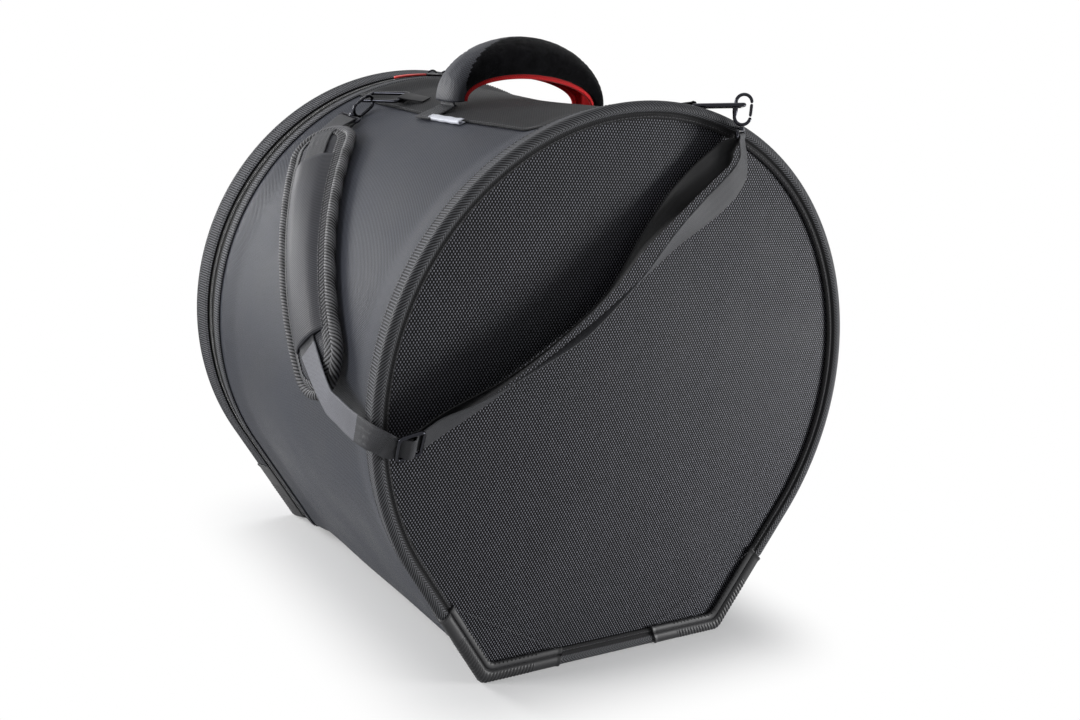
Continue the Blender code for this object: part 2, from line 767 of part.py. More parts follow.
def handle_rings(inset, thickness, half_width, skirted):
    """Sections of one arched layer of the handle, from -X to +X."""
    rings = []
    for turn in reversed(HANDLE_TURNS):
        outer = Vector((HANDLE_OUTER_HALF * math.cos(turn), HANDLE_OUTER_RISE * math.sin(turn)))
        inner = Vector((HANDLE_INNER_HALF * math.cos(turn), HANDLE_INNER_RISE * math.sin(turn)))
        inwards = (inner - outer).normalized()
        reach = (inner - outer).length

        def point(across, depth):
            flat = outer + inwards * depth
            return Vector((flat.x, HANDLE_PLACE + across, HANDLE_BASE + flat.y))

        if not skirted:
            far = inset + thickness
            rings.append(
                [
                    point(-half_width, inset),
                    point(half_width, inset),
                    point(half_width, far),
                    point(-half_width, far),
                ]
            )
            continue
        shoulder = half_width - HANDLE_CORNER
        inside = half_width - thickness
        rings.append(
            [
                point(-half_width, reach),
                point(-half_width, inset + HANDLE_CORNER),
                point(-shoulder, inset),
                point(shoulder, inset),
                point(half_width, inset + HANDLE_CORNER),
                point(half_width, reach),
                point(inside, reach),
                point(inside, inset + HANDLE_CORNER),
                point(shoulder, inset + thickness),
                point(-shoulder, inset + thickness),
                point(-inside, inset + HANDLE_CORNER),
                point(-inside, reach),
            ]
        )
    return rings


def build_handle(finishes):
    """Padded wrap handle across the top, on the axis where its webbing enters the sewn feet."""
    axis = axis_empty("handle_axis", Vector((0.0, HANDLE_PLACE, HANDLE_BASE + HANDLE_AXIS_RISE)))
    cover = handle_rings(0.0, HANDLE_COVER, HANDLE_HALF_WIDTH, True)
    mesh_object("handle_cover", sweep_mesh(cover, False), finishes["velour"], axis)
    foam_half = HANDLE_HALF_WIDTH - HANDLE_COVER - GAP
    foam = handle_rings(HANDLE_COVER + GAP, HANDLE_FOAM, foam_half, True)
    mesh_object("handle_foam", sweep_mesh(foam, False), finishes["foam"], axis)
    web_inset = HANDLE_COVER + HANDLE_FOAM + 2 * GAP
    web = handle_rings(web_inset, HANDLE_WEB_THICKNESS, HANDLE_WEB_HALF, False)
    mesh_object("handle_webbing", sweep_mesh(web, False), finishes["web"], axis)
    liner_half = foam_half - HANDLE_FOAM - GAP
    liner = handle_rings(web_inset + HANDLE_WEB_THICKNESS + GAP, HANDLE_LINER, liner_half, True)
    mesh_object("handle_liner", sweep_mesh(liner, False), finishes["liner"], axis)
    for name, sign in (("left", 1), ("right", -1)):
        build_handle_foot(name, sign, web_inset + HANDLE_WEB_THICKNESS / 2, finishes)


def build_handle_foot(name, sign, web_depth, finishes):
    """Webbing foot sewn to the top panel; it narrows to a rounded tip under the handle's end."""
    turn = HANDLE_TURNS[0]
    outer = Vector((HANDLE_OUTER_HALF * math.cos(turn), HANDLE_OUTER_RISE * math.sin(turn)))
    inner = Vector((HANDLE_INNER_HALF * math.cos(turn), HANDLE_INNER_RISE * math.sin(turn)))
    web_end = outer + (inner - outer).normalized() * web_depth
    height = TOP_PANEL_THICKNESS + 4 * GAP + HANDLE_WEB_THICKNESS / 2
    flat_arc = web_end.x + FOOT_LENGTH
    mid_arc = web_end.x + FOOT_LENGTH / 2
    bend_arc = web_end.x + HANDLE_WEB_THICKNESS * 2
    flat_start = wall_point(sign * flat_arc, HANDLE_PLACE, height)
    flat_middle = wall_point(sign * mid_arc, HANDLE_PLACE, height)
    bend = wall_point(sign * bend_arc, HANDLE_PLACE, height + HANDLE_WEB_THICKNESS)
    tip = Vector((-sign * web_end.x, HANDLE_PLACE, HANDLE_BASE + web_end.y - 2 * GAP))
    below_tip = tip - Vector((0.0, 0.0, HANDLE_CORNER))
    centres = [flat_start, flat_middle, bend, below_tip, tip]
    halves = [HANDLE_WEB_HALF, HANDLE_WEB_HALF, HANDLE_WEB_HALF, HANDLE_WEB_HALF, FOOT_TIP_HALF]
    across = Vector((0.0, 1.0, 0.0))
    rings = ribbon_rings(centres, [across] * len(centres), halves, HANDLE_WEB_THICKNESS)
    mesh_object(f"handle_foot_{name}", sweep_mesh(rings, False), finishes["web"])


# Webbing
def ribbon_rings(centres, widths, halves, thickness):
    """Rectangular sections along a route; halves is the half width at each centre."""
    rings = []
    last = len(centres) - 1
    for index, centre in enumerate(centres):
        before = centres[max(0, index - 1)]
        after = centres[min(last, index + 1)]
        tangent = (after - before).normalized()
        across = widths[index]
        across = (across - tangent * across.dot(tangent)).normalized()
        face = tangent.cross(across) * (thickness / 2)
        across = across * halves[index]
        rings.append([centre - across - face, centre + across - face, centre + across + face, centre - across + face])
    return rings


def strap_mesh(centres, widths):
    """Strap webbing along a route."""
    halves = [WEB_WIDTH / 2] * len(centres)
    return sweep_mesh(ribbon_rings(centres, widths, halves, WEB_THICKNESS), False)


def smooth_route(points, widths, steps):
    """Smooth curve through the route's points, with the widths turned along it."""
    centres = []
    across = []
    last = len(points) - 1
    for index in range(last):
        start = points[index]
        end = points[index + 1]
        length = (end - start).length
        leave = (end - points[max(0, index - 1)]).normalized() * length
        arrive = (points[min(last, index + 2)] - start).normalized() * length
        count = steps if length > WEB_WIDTH / 3 else 1
        for step in range(count):
            t = step / count
            near = start * (2 * t**3 - 3 * t**2 + 1) + leave * (t**3 - 2 * t**2 + t)
            far = end * (3 * t**2 - 2 * t**3) + arrive * (t**3 - t**2)
            centres.append(near + far)
            across.append(widths[index].lerp(widths[index + 1], t))
    centres.append(points[-1])
    across.append(widths[-1])
    return centres, across


def bar_wrap(bar, outwards, onwards, angles, radius):
    """Points round a bar: angle 0 is outwards and 90 degrees is onwards."""
    points = []
    for angle in angles:
        turn = math.radians(angle)
        points.append(bar + (outwards * math.cos(turn) + onwards * math.sin(turn)) * radius)
    return points


# Shoulder pad, on the wall
PAD_ALONG = Vector((math.cos(PAD_SLOPE), math.sin(PAD_SLOPE)))
PAD_ACROSS = Vector((-PAD_ALONG.y, PAD_ALONG.x))
PAD_SHARES = [0.0, 0.02, 0.055, 0.11, 0.19, 0.27, 0.35, 0.43, 0.51, 0.59, 0.67, 0.75, 0.83, 0.89, 0.945, 0.98, 1.0]
PAD_ACROSS_SHARES = [-1.0, -0.9, -0.56, -0.44, 0.0, 0.44, 0.56, 0.9, 1.0]


def pad_point(share, across, height):
    """Point over the wall in the pad's own lengthwise share and crosswise distance."""
    along = PAD_ALONG * (share * PAD_LENGTH) + PAD_ACROSS * across
    return wall_point(PAD_START_ARC + along.x, PAD_START_PLACE + along.y, height)


def pad_half_width(share):
    """Half width of the pad, with half-round ends."""
    from_end = min(share, 1 - share) * PAD_LENGTH
    reach = min(1.0, from_end / PAD_HALF_WIDTH)
    return PAD_HALF_WIDTH * math.sqrt(max(0.0, 1 - (1 - reach) ** 2))


def pad_top(share, across_share):
    """Height of the pad's crowned face."""
    ends = min(1.0, pad_half_width(share) / PAD_HALF_WIDTH)
    crown = (PAD_CROWN - PAD_EDGE) * (1 - across_share**4) * ends
    return PAD_LIFT + PAD_EDGE + crown


def build_pad(finishes):
    """Padded body of the shoulder pad, its piping and its sleeve panel."""
    end_half = PAD_HALF_WIDTH * PAD_SHARES[1]
    rings = []
    for share in PAD_SHARES:
        half = max(end_half, pad_half_width(share))
        top = [pad_point(share, half * across, pad_top(share, across)) for across in PAD_ACROSS_SHARES]
        bottom = [pad_point(share, half * across, PAD_LIFT) for across in reversed(PAD_ACROSS_SHARES)]
        rings.append(top + bottom)
    mesh_object("shoulder_pad", sweep_mesh(rings, False), finishes["pad"])
    build_piping(finishes)
    sleeve_rings = []
    strap_top = PAD_LIFT + PAD_CROWN + 4 * GAP + WEB_THICKNESS
    for share in PAD_SHARES:
        if not SLEEVE_START_SHARE <= share <= SLEEVE_END_SHARE:
            continue
        half = pad_half_width(share)
        lower = []
        upper = []
        for across in PAD_ACROSS_SHARES[1:-1]:
            height = pad_top(share, across) + GAP
            if abs(across) * half < WEB_WIDTH / 2 + 2 * SLEEVE_THICKNESS:
                height = max(height, strap_top + GAP)
            lower.append(pad_point(share, half * across, height))
            upper.append(pad_point(share, half * across, height + SLEEVE_THICKNESS))
        sleeve_rings.append(upper + list(reversed(lower)))
    mesh_object("pad_sleeve", sweep_mesh(sleeve_rings, False), finishes["pad"])


SLEEVE_START_SHARE = 0.19
SLEEVE_END_SHARE = 0.83
PIPING_END_STEPS = 10
PIPING_SIDE_STEPS = 10


def build_piping(finishes):
    """Corded edge that runs round the pad."""
    reach = PAD_HALF_WIDTH + 3 * GAP + PIPING_RADIUS
    height = PAD_LIFT + PIPING_RADIUS
    straight = PAD_LENGTH - 2 * PAD_HALF_WIDTH
    near = PAD_HALF_WIDTH / PAD_LENGTH
    points = []
    for side, centre in ((1, near), (-1, 1 - near)):
        for step in range(PIPING_END_STEPS):
            turn = math.pi / 2 + math.pi * step / PIPING_END_STEPS
            along = side * reach * math.cos(turn) / PAD_LENGTH
            points.append(pad_point(centre + along, side * reach * math.sin(turn), height))
        for step in range(PIPING_SIDE_STEPS):
            run = side * straight * step / PIPING_SIDE_STEPS / PAD_LENGTH
            points.append(pad_point(centre + run, -side * reach, height))
    bm = tube_mesh(points, PIPING_RADIUS, cyclic=True, sides=6)
    mesh_object("pad_piping", bm, finishes["piping"])


# Rings, hooks and tabs
def build_ring(name, foot, tip, side, finishes):
    """Rounded wire ring from its foot bar to its tip bar; returns its directions along and across."""
    along = (tip - foot).normalized()
    side = (side - along * side.dot(along)).normalized()
    wide = side * RING_HALF_WIDTH
    corners = [foot - wide, foot + wide, foot + wide + along * RING_LENGTH, foot - wide + along * RING_LENGTH]
    loop = rounded_loop(corners, RING_CORNER)
    mesh_object(f"d_ring_{name}", tube_mesh(loop, RING_WIRE, cyclic=True), finishes["metal"])
    return along, side


def wall_seam(arc, place, step):
    """Middle and width direction of a tab's end sewn flat on the wall; step lies across the tab."""
    reach = step.normalized() * (TAB_WIDTH / 2)
    near = wall_point(arc - reach.x, place - reach.y, TAB_SEAM_LIFT)
    far = wall_point(arc + reach.x, place + reach.y, TAB_SEAM_LIFT)
    return (near + far) / 2, (far - near).normalized()


def build_tab(name, foot, along, side, up, seam, finishes):
    """Webbing tab that holds a ring's foot bar, from its sewn end round the bar."""
    sewn_end, sewn_side = seam
    if sewn_side.dot(side) < 0:
        sewn_side = -sewn_side
    radius = RING_WIRE + GAP + WEB_THICKNESS / 2
    upright = along.cross(side)
    up = upright * math.copysign(1.0, upright.dot(up))
    wrap = bar_wrap(foot, up, along, (-45, 0, 45, 90, 135, 180), radius)
    centres = [sewn_end, sewn_end.lerp(wrap[0], 0.6)] + wrap + [wrap[-1] - along * RING_WIRE * 2]
    halves = [TAB_WIDTH / 2] * len(centres)
    widths = [sewn_side] + [side] * (len(centres) - 1)
    rings = ribbon_rings(centres, widths, halves, WEB_THICKNESS)
    mesh_object(f"strap_tab_{name}", sweep_mesh(rings, False), finishes["web"])


class SnapHook:
    """Snap hook hung on a ring's wire: a bow, a sprung gate and a swivel eye for the strap."""

    def __init__(self, name, bar, run, wide, eye_bar, rise):
        self.name = name
        self.run = run.normalized()
        self.wide = (wide - self.run * wide.dot(self.run)).normalized()
        self.eye_wide = (eye_bar - self.run * eye_bar.dot(self.run)).normalized()
        self.top = bar - self.run * (RING_WIRE + HOOK_SLACK + HOOK_WIRE + rise)
        self.straight_end = HOOK_LENGTH - HOOK_HALF_WIDTH
        self.collar_start = HOOK_LENGTH + HOOK_WIRE + GAP
        self.eye_run = self.collar_start + COLLAR_LENGTH + EYE_DROP
        self.bar = bar
        self.eye_centre = self.top + self.run * self.eye_run
        self.gate_pivot = self.at(HOOK_HALF_WIDTH, self.straight_end - GATE_PLAY)

    def at(self, wide, along):
        """Point of the bow's plane."""
        return self.top + self.wide * wide + self.run * along

    def build(self, finishes):
        """Make the bow, the gate and the eye."""
        bow_axis = axis_empty(f"hook_{self.name}_axis", self.bar)
        bow = []
        for step in range(9):
            turn = math.pi * step / 8
            wide = HOOK_HALF_WIDTH * math.cos(turn)
            bow.append(self.at(wide, HOOK_HALF_WIDTH * (1 - math.sin(turn))))
        for step in range(9):
            turn = math.pi + math.pi * step / 8
            wide = HOOK_HALF_WIDTH * math.cos(turn)
            bow.append(self.at(wide, self.straight_end - HOOK_HALF_WIDTH * math.sin(turn)))
        mesh_object(f"snap_hook_{self.name}", tube_mesh(bow, HOOK_WIRE), finishes["metal"], bow_axis)
        gate_axis = axis_empty(f"gate_{self.name}_axis", self.gate_pivot)
        gate = [self.at(HOOK_HALF_WIDTH, HOOK_HALF_WIDTH + GATE_PLAY), self.gate_pivot]
        mesh_object(f"hook_gate_{self.name}", tube_mesh(gate, GATE_WIRE), finishes["metal"], gate_axis)
        self.build_eye(finishes)

    def build_eye(self, finishes):
        """Swivel collar and the loop that takes the strap, joined into one piece."""
        half = WEB_WIDTH / 2 + EYE_PLAY + EYE_WIRE
        neck = self.collar_start + COLLAR_LENGTH
        corners = []
        for wide, along in ((-half, neck), (half, neck), (half, self.eye_run), (-half, self.eye_run)):
            corners.append(self.top + self.eye_wide * wide + self.run * along)
        wire = tube_mesh(rounded_loop(corners, EYE_WIRE), EYE_WIRE, cyclic=True)
        loop = mesh_object(f"swivel_eye_{self.name}", wire, finishes["metal"])
        collar = [self.top + self.run * along for along in (self.collar_start, neck)]
        union_with(loop, tube_mesh(collar, COLLAR_RADIUS, sides=12))


def union_with(piece, bm):
    """Join another closed shape onto a piece with a Boolean."""
    mesh = bpy.data.meshes.new(f"{piece.name}_part")
    bmesh.ops.recalc_face_normals(bm, faces=bm.faces)
    bm.to_mesh(mesh)
    bm.free()
    guide = bpy.data.objects.new(f"{piece.name}_part", mesh)
    guide.hide_render = True
    guide.display_type = "WIRE"
    bpy.context.collection.objects.link(guide)
    union = piece.modifiers.new("join", "BOOLEAN")
    union.operation = "UNION"
    union.object = guide


# Tri-glide and the strap through it
def on_rim(out_share, place, up_share):
    """Place beside the rim, its two shares counted in rim radii from the rim's centre."""
    return Vector((out_share * RIM_RADIUS, place, RIM_CENTRE + up_share * RIM_RADIUS))


def on_front(share, place, rise):
    """Place a share of the way from the tri-glide to the front ring's tip, with its rise over that line."""
    way = FRONT_RING_TIP - GLIDE_CENTRE
    way.y = 0.0
    over = Vector((-way.z, 0.0, way.x)).normalized()
    spot = GLIDE_CENTRE + way * share + over * rise
    return Vector((spot.x, place, spot.z))


GLIDE_CENTRE = on_rim(GLIDE_SHARES[0], GLIDE_PLACE, GLIDE_SHARES[1])


class TriGlide:
    """Wire tri-glide on the strap at the front, with its own lengthwise, crosswise and facing directions."""

    def __init__(self):
        flat = Vector((math.cos(GLIDE_RISE), 0.0, math.sin(GLIDE_RISE)))
        up = Vector((-math.sin(GLIDE_RISE), 0.0, math.cos(GLIDE_RISE)))
        front = Vector((0.0, -1.0, 0.0))
        self.along = flat
        self.across = up * math.cos(GLIDE_LEAN) + front * math.sin(GLIDE_LEAN)
        self.face = front * math.cos(GLIDE_LEAN) - up * math.sin(GLIDE_LEAN)
        self.wrap = GLIDE_WIRE + GAP + WEB_THICKNESS / 2
        self.over = self.wrap + WEB_THICKNESS + GAP * 2
        self.under = GLIDE_WIRE + GAP * 2 + WEB_THICKNESS / 2

    def at(self, along, height):
        """Point over the tri-glide's middle line."""
        return GLIDE_CENTRE + self.along * along + self.face * height

    def build(self, finishes):
        """Frame and centre bar."""
        half = WEB_WIDTH / 2 + 2 * GAP + GLIDE_WIRE
        corners = []
        for along, across in ((-1, -1), (1, -1), (1, 1), (-1, 1)):
            corners.append(self.at(along * GLIDE_HALF_LENGTH, 0.0) + self.across * across * half)
        wire = tube_mesh(rounded_loop(corners, 2 * GLIDE_WIRE), GLIDE_WIRE, cyclic=True)
        frame = mesh_object("tri_glide", wire, finishes["metal"])
        bar = [GLIDE_CENTRE + self.across * side * half for side in (-1, 1)]
        union_with(frame, tube_mesh(bar, GLIDE_WIRE))

    def main_points(self):
        """Strap under one end wire, over the centre bar and under the other end wire."""
        arch = bar_wrap(GLIDE_CENTRE, self.face, self.along, (-60, -30, 0, 30, 60), self.over)
        low = -self.under
        far = GLIDE_HALF_LENGTH
        near = far - 2 * GLIDE_WIRE - GAP
        start = [self.at(-far - 2 * WEB_THICKNESS, low), self.at(-far, low), self.at(-near, low + GAP)]
        end = [self.at(near, low + GAP), self.at(far, low), self.at(far + 2 * WEB_THICKNESS, low)]
        return start + arch + end

    def return_points(self):
        """Inner strap from behind the end wire, round the centre bar, to its sewn end."""
        low = -self.under - WEB_THICKNESS - 2 * GAP
        far = GLIDE_HALF_LENGTH
        start = [self.at(far * 2 / 3, low), self.at(far / 3, low + GAP)]
        loop = bar_wrap(GLIDE_CENTRE, self.face, self.along, (150, 180, 225, 270, 315, 360), self.wrap)
        return start + loop


# Strap routes, chosen by hand: places and width directions
RIM_ROUTE = [
    (on_rim(-1.0375000, 0.0730, -0.0125000), Vector((0.00, -0.45, 0.89))),
    (on_rim(-1.0375000, 0.0475, -0.0285714), Vector((0.00, -0.22, 0.98))),
    (on_rim(-1.0357143, 0.0225, -0.0410714), Vector((0.05, -0.15, 0.98))),
    (on_rim(-1.0232143, -0.0050, -0.0517857), Vector((0.10, -0.15, 0.98))),
    (on_rim(-0.9910714, -0.0155, -0.0660714), Vector((0.00, -0.38, 0.92))),
]
OUTER_ROUTE = [
    (on_front(0.0754192, -0.0180, -0.0090016), Vector((-0.38, -0.52, 0.76))),
    (on_front(0.1357061, -0.0235, -0.0155668), Vector((-0.41, -0.72, 0.56))),
    (on_front(0.2269612, -0.0300, -0.0227369), Vector((-0.34, -0.86, 0.39))),
    (on_front(0.3948012, -0.0330, -0.0371074), Vector((-0.18, -0.96, 0.23))),
    (on_front(0.5667540, -0.0310, -0.0411004), Vector((-0.34, -0.82, 0.46))),
    (on_front(0.6879214, -0.0280, -0.0404041), Vector((-0.52, -0.53, 0.67))),
    (on_front(0.8050860, -0.0250, -0.0447704), Vector((-0.66, 0.00, 0.74))),
    (on_front(0.8593243, -0.0230, -0.0461821), Vector((-0.70, 0.00, 0.70))),
    (on_front(0.9008058, -0.0205, -0.0443868), Vector((-0.83, -0.20, 0.50))),
    (on_front(0.9276389, -0.0180, -0.0366010), Vector((-0.83, -0.50, 0.24))),
]
RETURN_ROUTE = [
    (on_front(0.9003435, -0.0110, -0.0220887), Vector((-0.63, 0.10, 0.77))),
    (on_front(0.8345141, -0.0105, -0.0206267), Vector((-0.62, 0.25, 0.72))),
    (on_front(0.7635160, -0.0105, -0.0210707), Vector((-0.70, 0.10, 0.70))),
    (on_front(0.7120710, -0.0105, -0.0234812), Vector((-0.72, -0.18, 0.67))),
    (on_front(0.6398853, -0.0110, -0.0267894), Vector((-0.69, -0.49, 0.53))),
    (on_front(0.5031020, -0.0130, -0.0385189), Vector((-0.44, -0.76, 0.48))),
    (on_front(0.3450057, -0.0140, -0.0341628), Vector((-0.33, -0.82, 0.47))),
    (on_front(0.2125549, -0.0130, -0.0248851), Vector((-0.34, -0.75, 0.57))),
    (on_front(0.1011307, -0.0110, -0.0108068), Vector((-0.31, -0.61, 0.73))),
    (on_front(0.0589453, -0.0105, -0.0069544), Vector((-0.26, -0.55, 0.79))),
]


def split_route(route):
    """Places and widths of a route as two lists."""
    return [place for place, _ in route], [width for _, width in route]


def rim_seam(onwards):
    """Place and width direction where the strap's two runs meet, moved onwards along the route."""
    (first, first_turn), (second, second_turn) = RIM_ROUTE[:2]
    middle = first.lerp(second, 0.5)
    return middle + (second - first).normalized() * onwards, first_turn.lerp(second_turn, 0.5)


def build_pad_strap(rear_hook, finishes):
    """Strap from the rear eye through the pad's sleeve to the rim."""
    bar = rear_hook.eye_centre
    onwards = rear_hook.run
    across = rear_hook.eye_wide
    outwards = across.cross(onwards)
    if outwards.dot(wall_normal(REAR_HOOK_AIM_ARC)) < 0:
        outwards = -outwards
    radius = EYE_WIRE + GAP + WEB_THICKNESS / 2
    wrap = bar_wrap(bar, outwards, onwards, (180, 225, 270, 315, 360), radius)
    tail = wrap[0] + onwards * (WEB_WIDTH / 3)
    centres = [tail] + wrap
    pad_shares = PAD_SHARES[1:-1]
    height = 3 * GAP + WEB_THICKNESS / 2
    sample = pad_point(0.0, -PAD_HALF_WIDTH, height) - pad_point(0.0, PAD_HALF_WIDTH, height)
    if across.dot(sample) < 0:
        across = -across
    widths = [across] * len(centres)
    for share in pad_shares:
        centres.append(pad_point(share, 0.0, pad_top(share, 0.0) + height))
        left = pad_point(share, -PAD_HALF_WIDTH / 4, height)
        right = pad_point(share, PAD_HALF_WIDTH / 4, height)
        widths.append((left - right).normalized())
    seam, seam_turn = rim_seam(0.0)
    centres += [RIM_ROUTE[0][0], seam]
    widths += [RIM_ROUTE[0][1], seam_turn]
    mesh_object("strap_pad_run", strap_mesh(centres, widths), finishes["web"])


def build_front_straps(glide, front_hook, finishes):
    """Outer strap from the rim through the tri-glide to the front eye, and the inner return."""
    bar = front_hook.eye_centre
    across = -front_hook.eye_wide
    upwards = -front_hook.run
    towards = across.cross(upwards)
    if towards.y > 0:
        towards = -towards
    radius = EYE_WIRE + GAP + WEB_THICKNESS / 2
    rise = bar_wrap(bar, towards, upwards, (0, 26, 52, 78), radius)
    below = rise[0] - upwards * COLLAR_LENGTH
    fall = bar_wrap(bar, towards, upwards, (102, 128, 154, 180), radius)
    under = fall[-1] - upwards * EYE_DROP
    glide_main = glide.main_points()
    glide_return = glide.return_points()
    seam, seam_turn = rim_seam(GAP)
    places, turns = split_route(RIM_ROUTE[1:])
    places.insert(0, seam)
    turns.insert(0, seam_turn)
    outer_places, outer_turns = split_route(OUTER_ROUTE)
    points = places + glide_main + outer_places + [below] + rise
    widths = turns + [glide.across] * len(glide_main) + outer_turns + [across] * (len(rise) + 1)
    centres, across_all = smooth_route(points, widths, ROUTE_STEPS)
    mesh_object("strap_front_run", strap_mesh(centres, across_all), finishes["web"])
    back_places, back_turns = split_route(RETURN_ROUTE)
    points = fall + [under] + back_places + glide_return
    widths = [across] * (len(fall) + 1) + back_turns + [glide.across] * len(glide_return)
    centres, across_all = smooth_route(points, widths, ROUTE_STEPS)
    mesh_object("strap_return", strap_mesh(centres, across_all), finishes["web"])


def build_strap(finishes):
    """Tabs, rings, hooks, tri-glide, pad and the strap that joins them."""
    up = Vector((0.0, 0.0, 1.0))
    front_aim, front_side = build_ring("front", FRONT_RING_FOOT, FRONT_RING_TIP, FRONT_RING_SIDE, finishes)
    sewn = FRONT_RING_FOOT - front_aim * TAB_REACH
    sewn_arc = -math.asin(sewn.x / RIM_RADIUS) * RIM_RADIUS
    seam = wall_seam(sewn_arc, sewn.y, Vector((-front_side.x, front_side.y)))
    build_tab("front", FRONT_RING_FOOT, front_aim, front_side, up, seam, finishes)
    front_bar = FRONT_RING_FOOT + front_aim * RING_LENGTH + front_side * FRONT_HOOK_OFFSET
    front_hook = SnapHook("front", front_bar, -up, front_aim, FRONT_EYE_BAR, FRONT_HOOK_RISE)
    front_hook.build(finishes)

    foot = wall_point(REAR_RING_ARC, REAR_RING_PLACE, REAR_RING_LIFT)
    tip = wall_point(REAR_RING_TIP_ARC, REAR_RING_TIP_PLACE, REAR_RING_TIP_LIFT)
    normal = wall_normal(REAR_RING_ARC)
    along, side = build_ring("rear", foot, tip, normal.cross(tip - foot), finishes)
    step = Vector((REAR_RING_TIP_ARC - REAR_RING_ARC, REAR_RING_TIP_PLACE - REAR_RING_PLACE)).normalized() * TAB_REACH
    seam = wall_seam(REAR_RING_ARC - step.x, REAR_RING_PLACE - step.y, Vector((-step.y, step.x)))
    build_tab("rear", foot, along, side, normal, seam, finishes)
    bar = foot + along * (RING_LENGTH * REAR_HOOK_SHARE) + side * RING_HALF_WIDTH
    aim = wall_point(REAR_HOOK_AIM_ARC, REAR_HOOK_AIM_PLACE, REAR_HOOK_AIM_LIFT)
    run = (aim - bar).normalized()
    rear_hook = SnapHook("rear", bar, run, along.cross(run), along, 0.0)
    rear_hook.build(finishes)

    glide = TriGlide()
    glide.build(finishes)
    build_pad(finishes)
    build_pad_strap(rear_hook, finishes)
    build_front_straps(glide, front_hook, finishes)
    report_joints(front_hook, rear_hook)


def report_joints(*hooks):
    """Print where the hooks' joints lie, for the record."""
    for hook in hooks:
        normal = hook.run.cross(hook.wide)
        print(hook.name, "swivel at", tuple(hook.bar), "axis", tuple(hook.run))
        print(hook.name, "gate at", tuple(hook.gate_pivot), "axis", tuple(normal))
        print(hook.name, "eye at", tuple(hook.eye_centre))


def main():
    """Build every piece of the bag."""
    clear_scene()
    finishes = {
        "nylon": finish("side_nylon", NYLON_BLACK, 0.45),
        "weave": finish("ballistic_weave", WEAVE_GREY, 0.60),
        "binding": finish("binding_tape", BINDING_GREY, 0.70),
        "patch": finish("ribbed_patch", BINDING_GREY, 0.50),
        "foam": finish("foam", FOAM_GREY, 0.90),
        "lining": finish("lining", LINING_BLACK, 0.80),
        "tape": finish("zip_tape", BINDING_GREY, 0.80),
        "coil": finish("zip_coil", METAL_BLACK, 0.40),
        "twill": finish("top_twill", NYLON_BLACK, 0.65),
        "tag": finish("tag_white", TAG_WHITE, 0.60),
        "velour": finish("velour", VELOUR_BLACK, 0.95),
        "liner": finish("handle_red", LINER_RED, 0.80),
        "pull": finish("pull_red", PULL_RED, 0.50),
        "web": finish("webbing", WEB_GREY, 0.65),
        "pad": finish("pad_nylon", WEB_GREY, 0.65),
        "piping": finish("pad_piping", BINDING_GREY, 0.70),
        "metal": finish("black_metal", METAL_BLACK, 0.25, 1.0),
    }
    build_wall(finishes)
    build_front(finishes)
    build_lid(finishes)
    build_zip_body(finishes)
    build_slider("left", 1, finishes)
    build_slider("right", -1, finishes)
    build_top_panel(finishes)
    build_handle(finishes)
    build_strap(finishes)


if __name__ == "__main__":
    main()
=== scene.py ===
"""Looks of a padded drum bag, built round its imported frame.

Metres, +Z up, in the frame's own axes: X runs across the bag, Y from the front panel to the rear
lid, and the origin is the middle of the front rim's flat base edge.
"""
from __future__ import annotations

import json
import logging
import math
from bisect import bisect_right
from dataclasses import dataclass, field
from enum import Enum
from typing import Callable, Sequence

import bmesh
import bpy
from mathutils import Matrix, Vector, noise

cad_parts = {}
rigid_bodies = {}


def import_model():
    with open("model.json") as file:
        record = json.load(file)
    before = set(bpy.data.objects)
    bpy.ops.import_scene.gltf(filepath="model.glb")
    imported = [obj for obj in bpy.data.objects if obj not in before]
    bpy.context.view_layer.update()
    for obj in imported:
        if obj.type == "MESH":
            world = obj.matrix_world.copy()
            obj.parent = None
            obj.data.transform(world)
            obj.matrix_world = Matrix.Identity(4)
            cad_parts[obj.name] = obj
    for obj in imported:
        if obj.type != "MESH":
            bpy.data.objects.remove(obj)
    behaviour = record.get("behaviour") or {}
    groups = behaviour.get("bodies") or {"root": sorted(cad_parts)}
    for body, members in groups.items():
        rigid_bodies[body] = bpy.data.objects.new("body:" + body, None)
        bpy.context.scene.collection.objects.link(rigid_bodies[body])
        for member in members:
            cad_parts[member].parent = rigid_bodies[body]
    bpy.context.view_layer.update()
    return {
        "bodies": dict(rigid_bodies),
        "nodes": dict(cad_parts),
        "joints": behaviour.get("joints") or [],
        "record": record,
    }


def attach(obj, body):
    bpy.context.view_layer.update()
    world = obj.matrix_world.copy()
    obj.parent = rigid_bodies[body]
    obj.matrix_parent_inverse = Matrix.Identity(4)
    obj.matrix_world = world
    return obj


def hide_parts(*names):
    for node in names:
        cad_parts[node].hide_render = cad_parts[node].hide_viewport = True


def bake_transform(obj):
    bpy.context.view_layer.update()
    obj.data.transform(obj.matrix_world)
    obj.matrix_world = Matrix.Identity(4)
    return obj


LOG = logging.getLogger("drum_bag")
MM = 0.001
UV_NAME = "cloth"
# Noise levels that a surface's wear is spread between
WEAR_SPAN = (0.3, 0.7)
RIM_RADIUS = 0.280
ZIP_LINE = 0.436
CLEARANCE = 0.3 * MM
# Half width and half height of a stitch
STITCH = (0.32 * MM, 0.28 * MM)
STRAP_THICKNESS = 1.4 * MM
CLOTH_FRAMES = 20
# Arc from the top, Y place and height over the wall of the rear ring's two ends
REAR_FOOT = (0.105, 0.331, 6.6 * MM)
REAR_TIP = (0.131, 0.376, 12.5 * MM)

Socket = bpy.types.NodeSocket
Tree = bpy.types.NodeTree
Piece = bpy.types.Object
Points = list[Vector]
Pair = tuple[float, float]
Triple = tuple[float, float, float]
Band = Callable[[float, float], int]
Relief = Callable[[float, float], float]


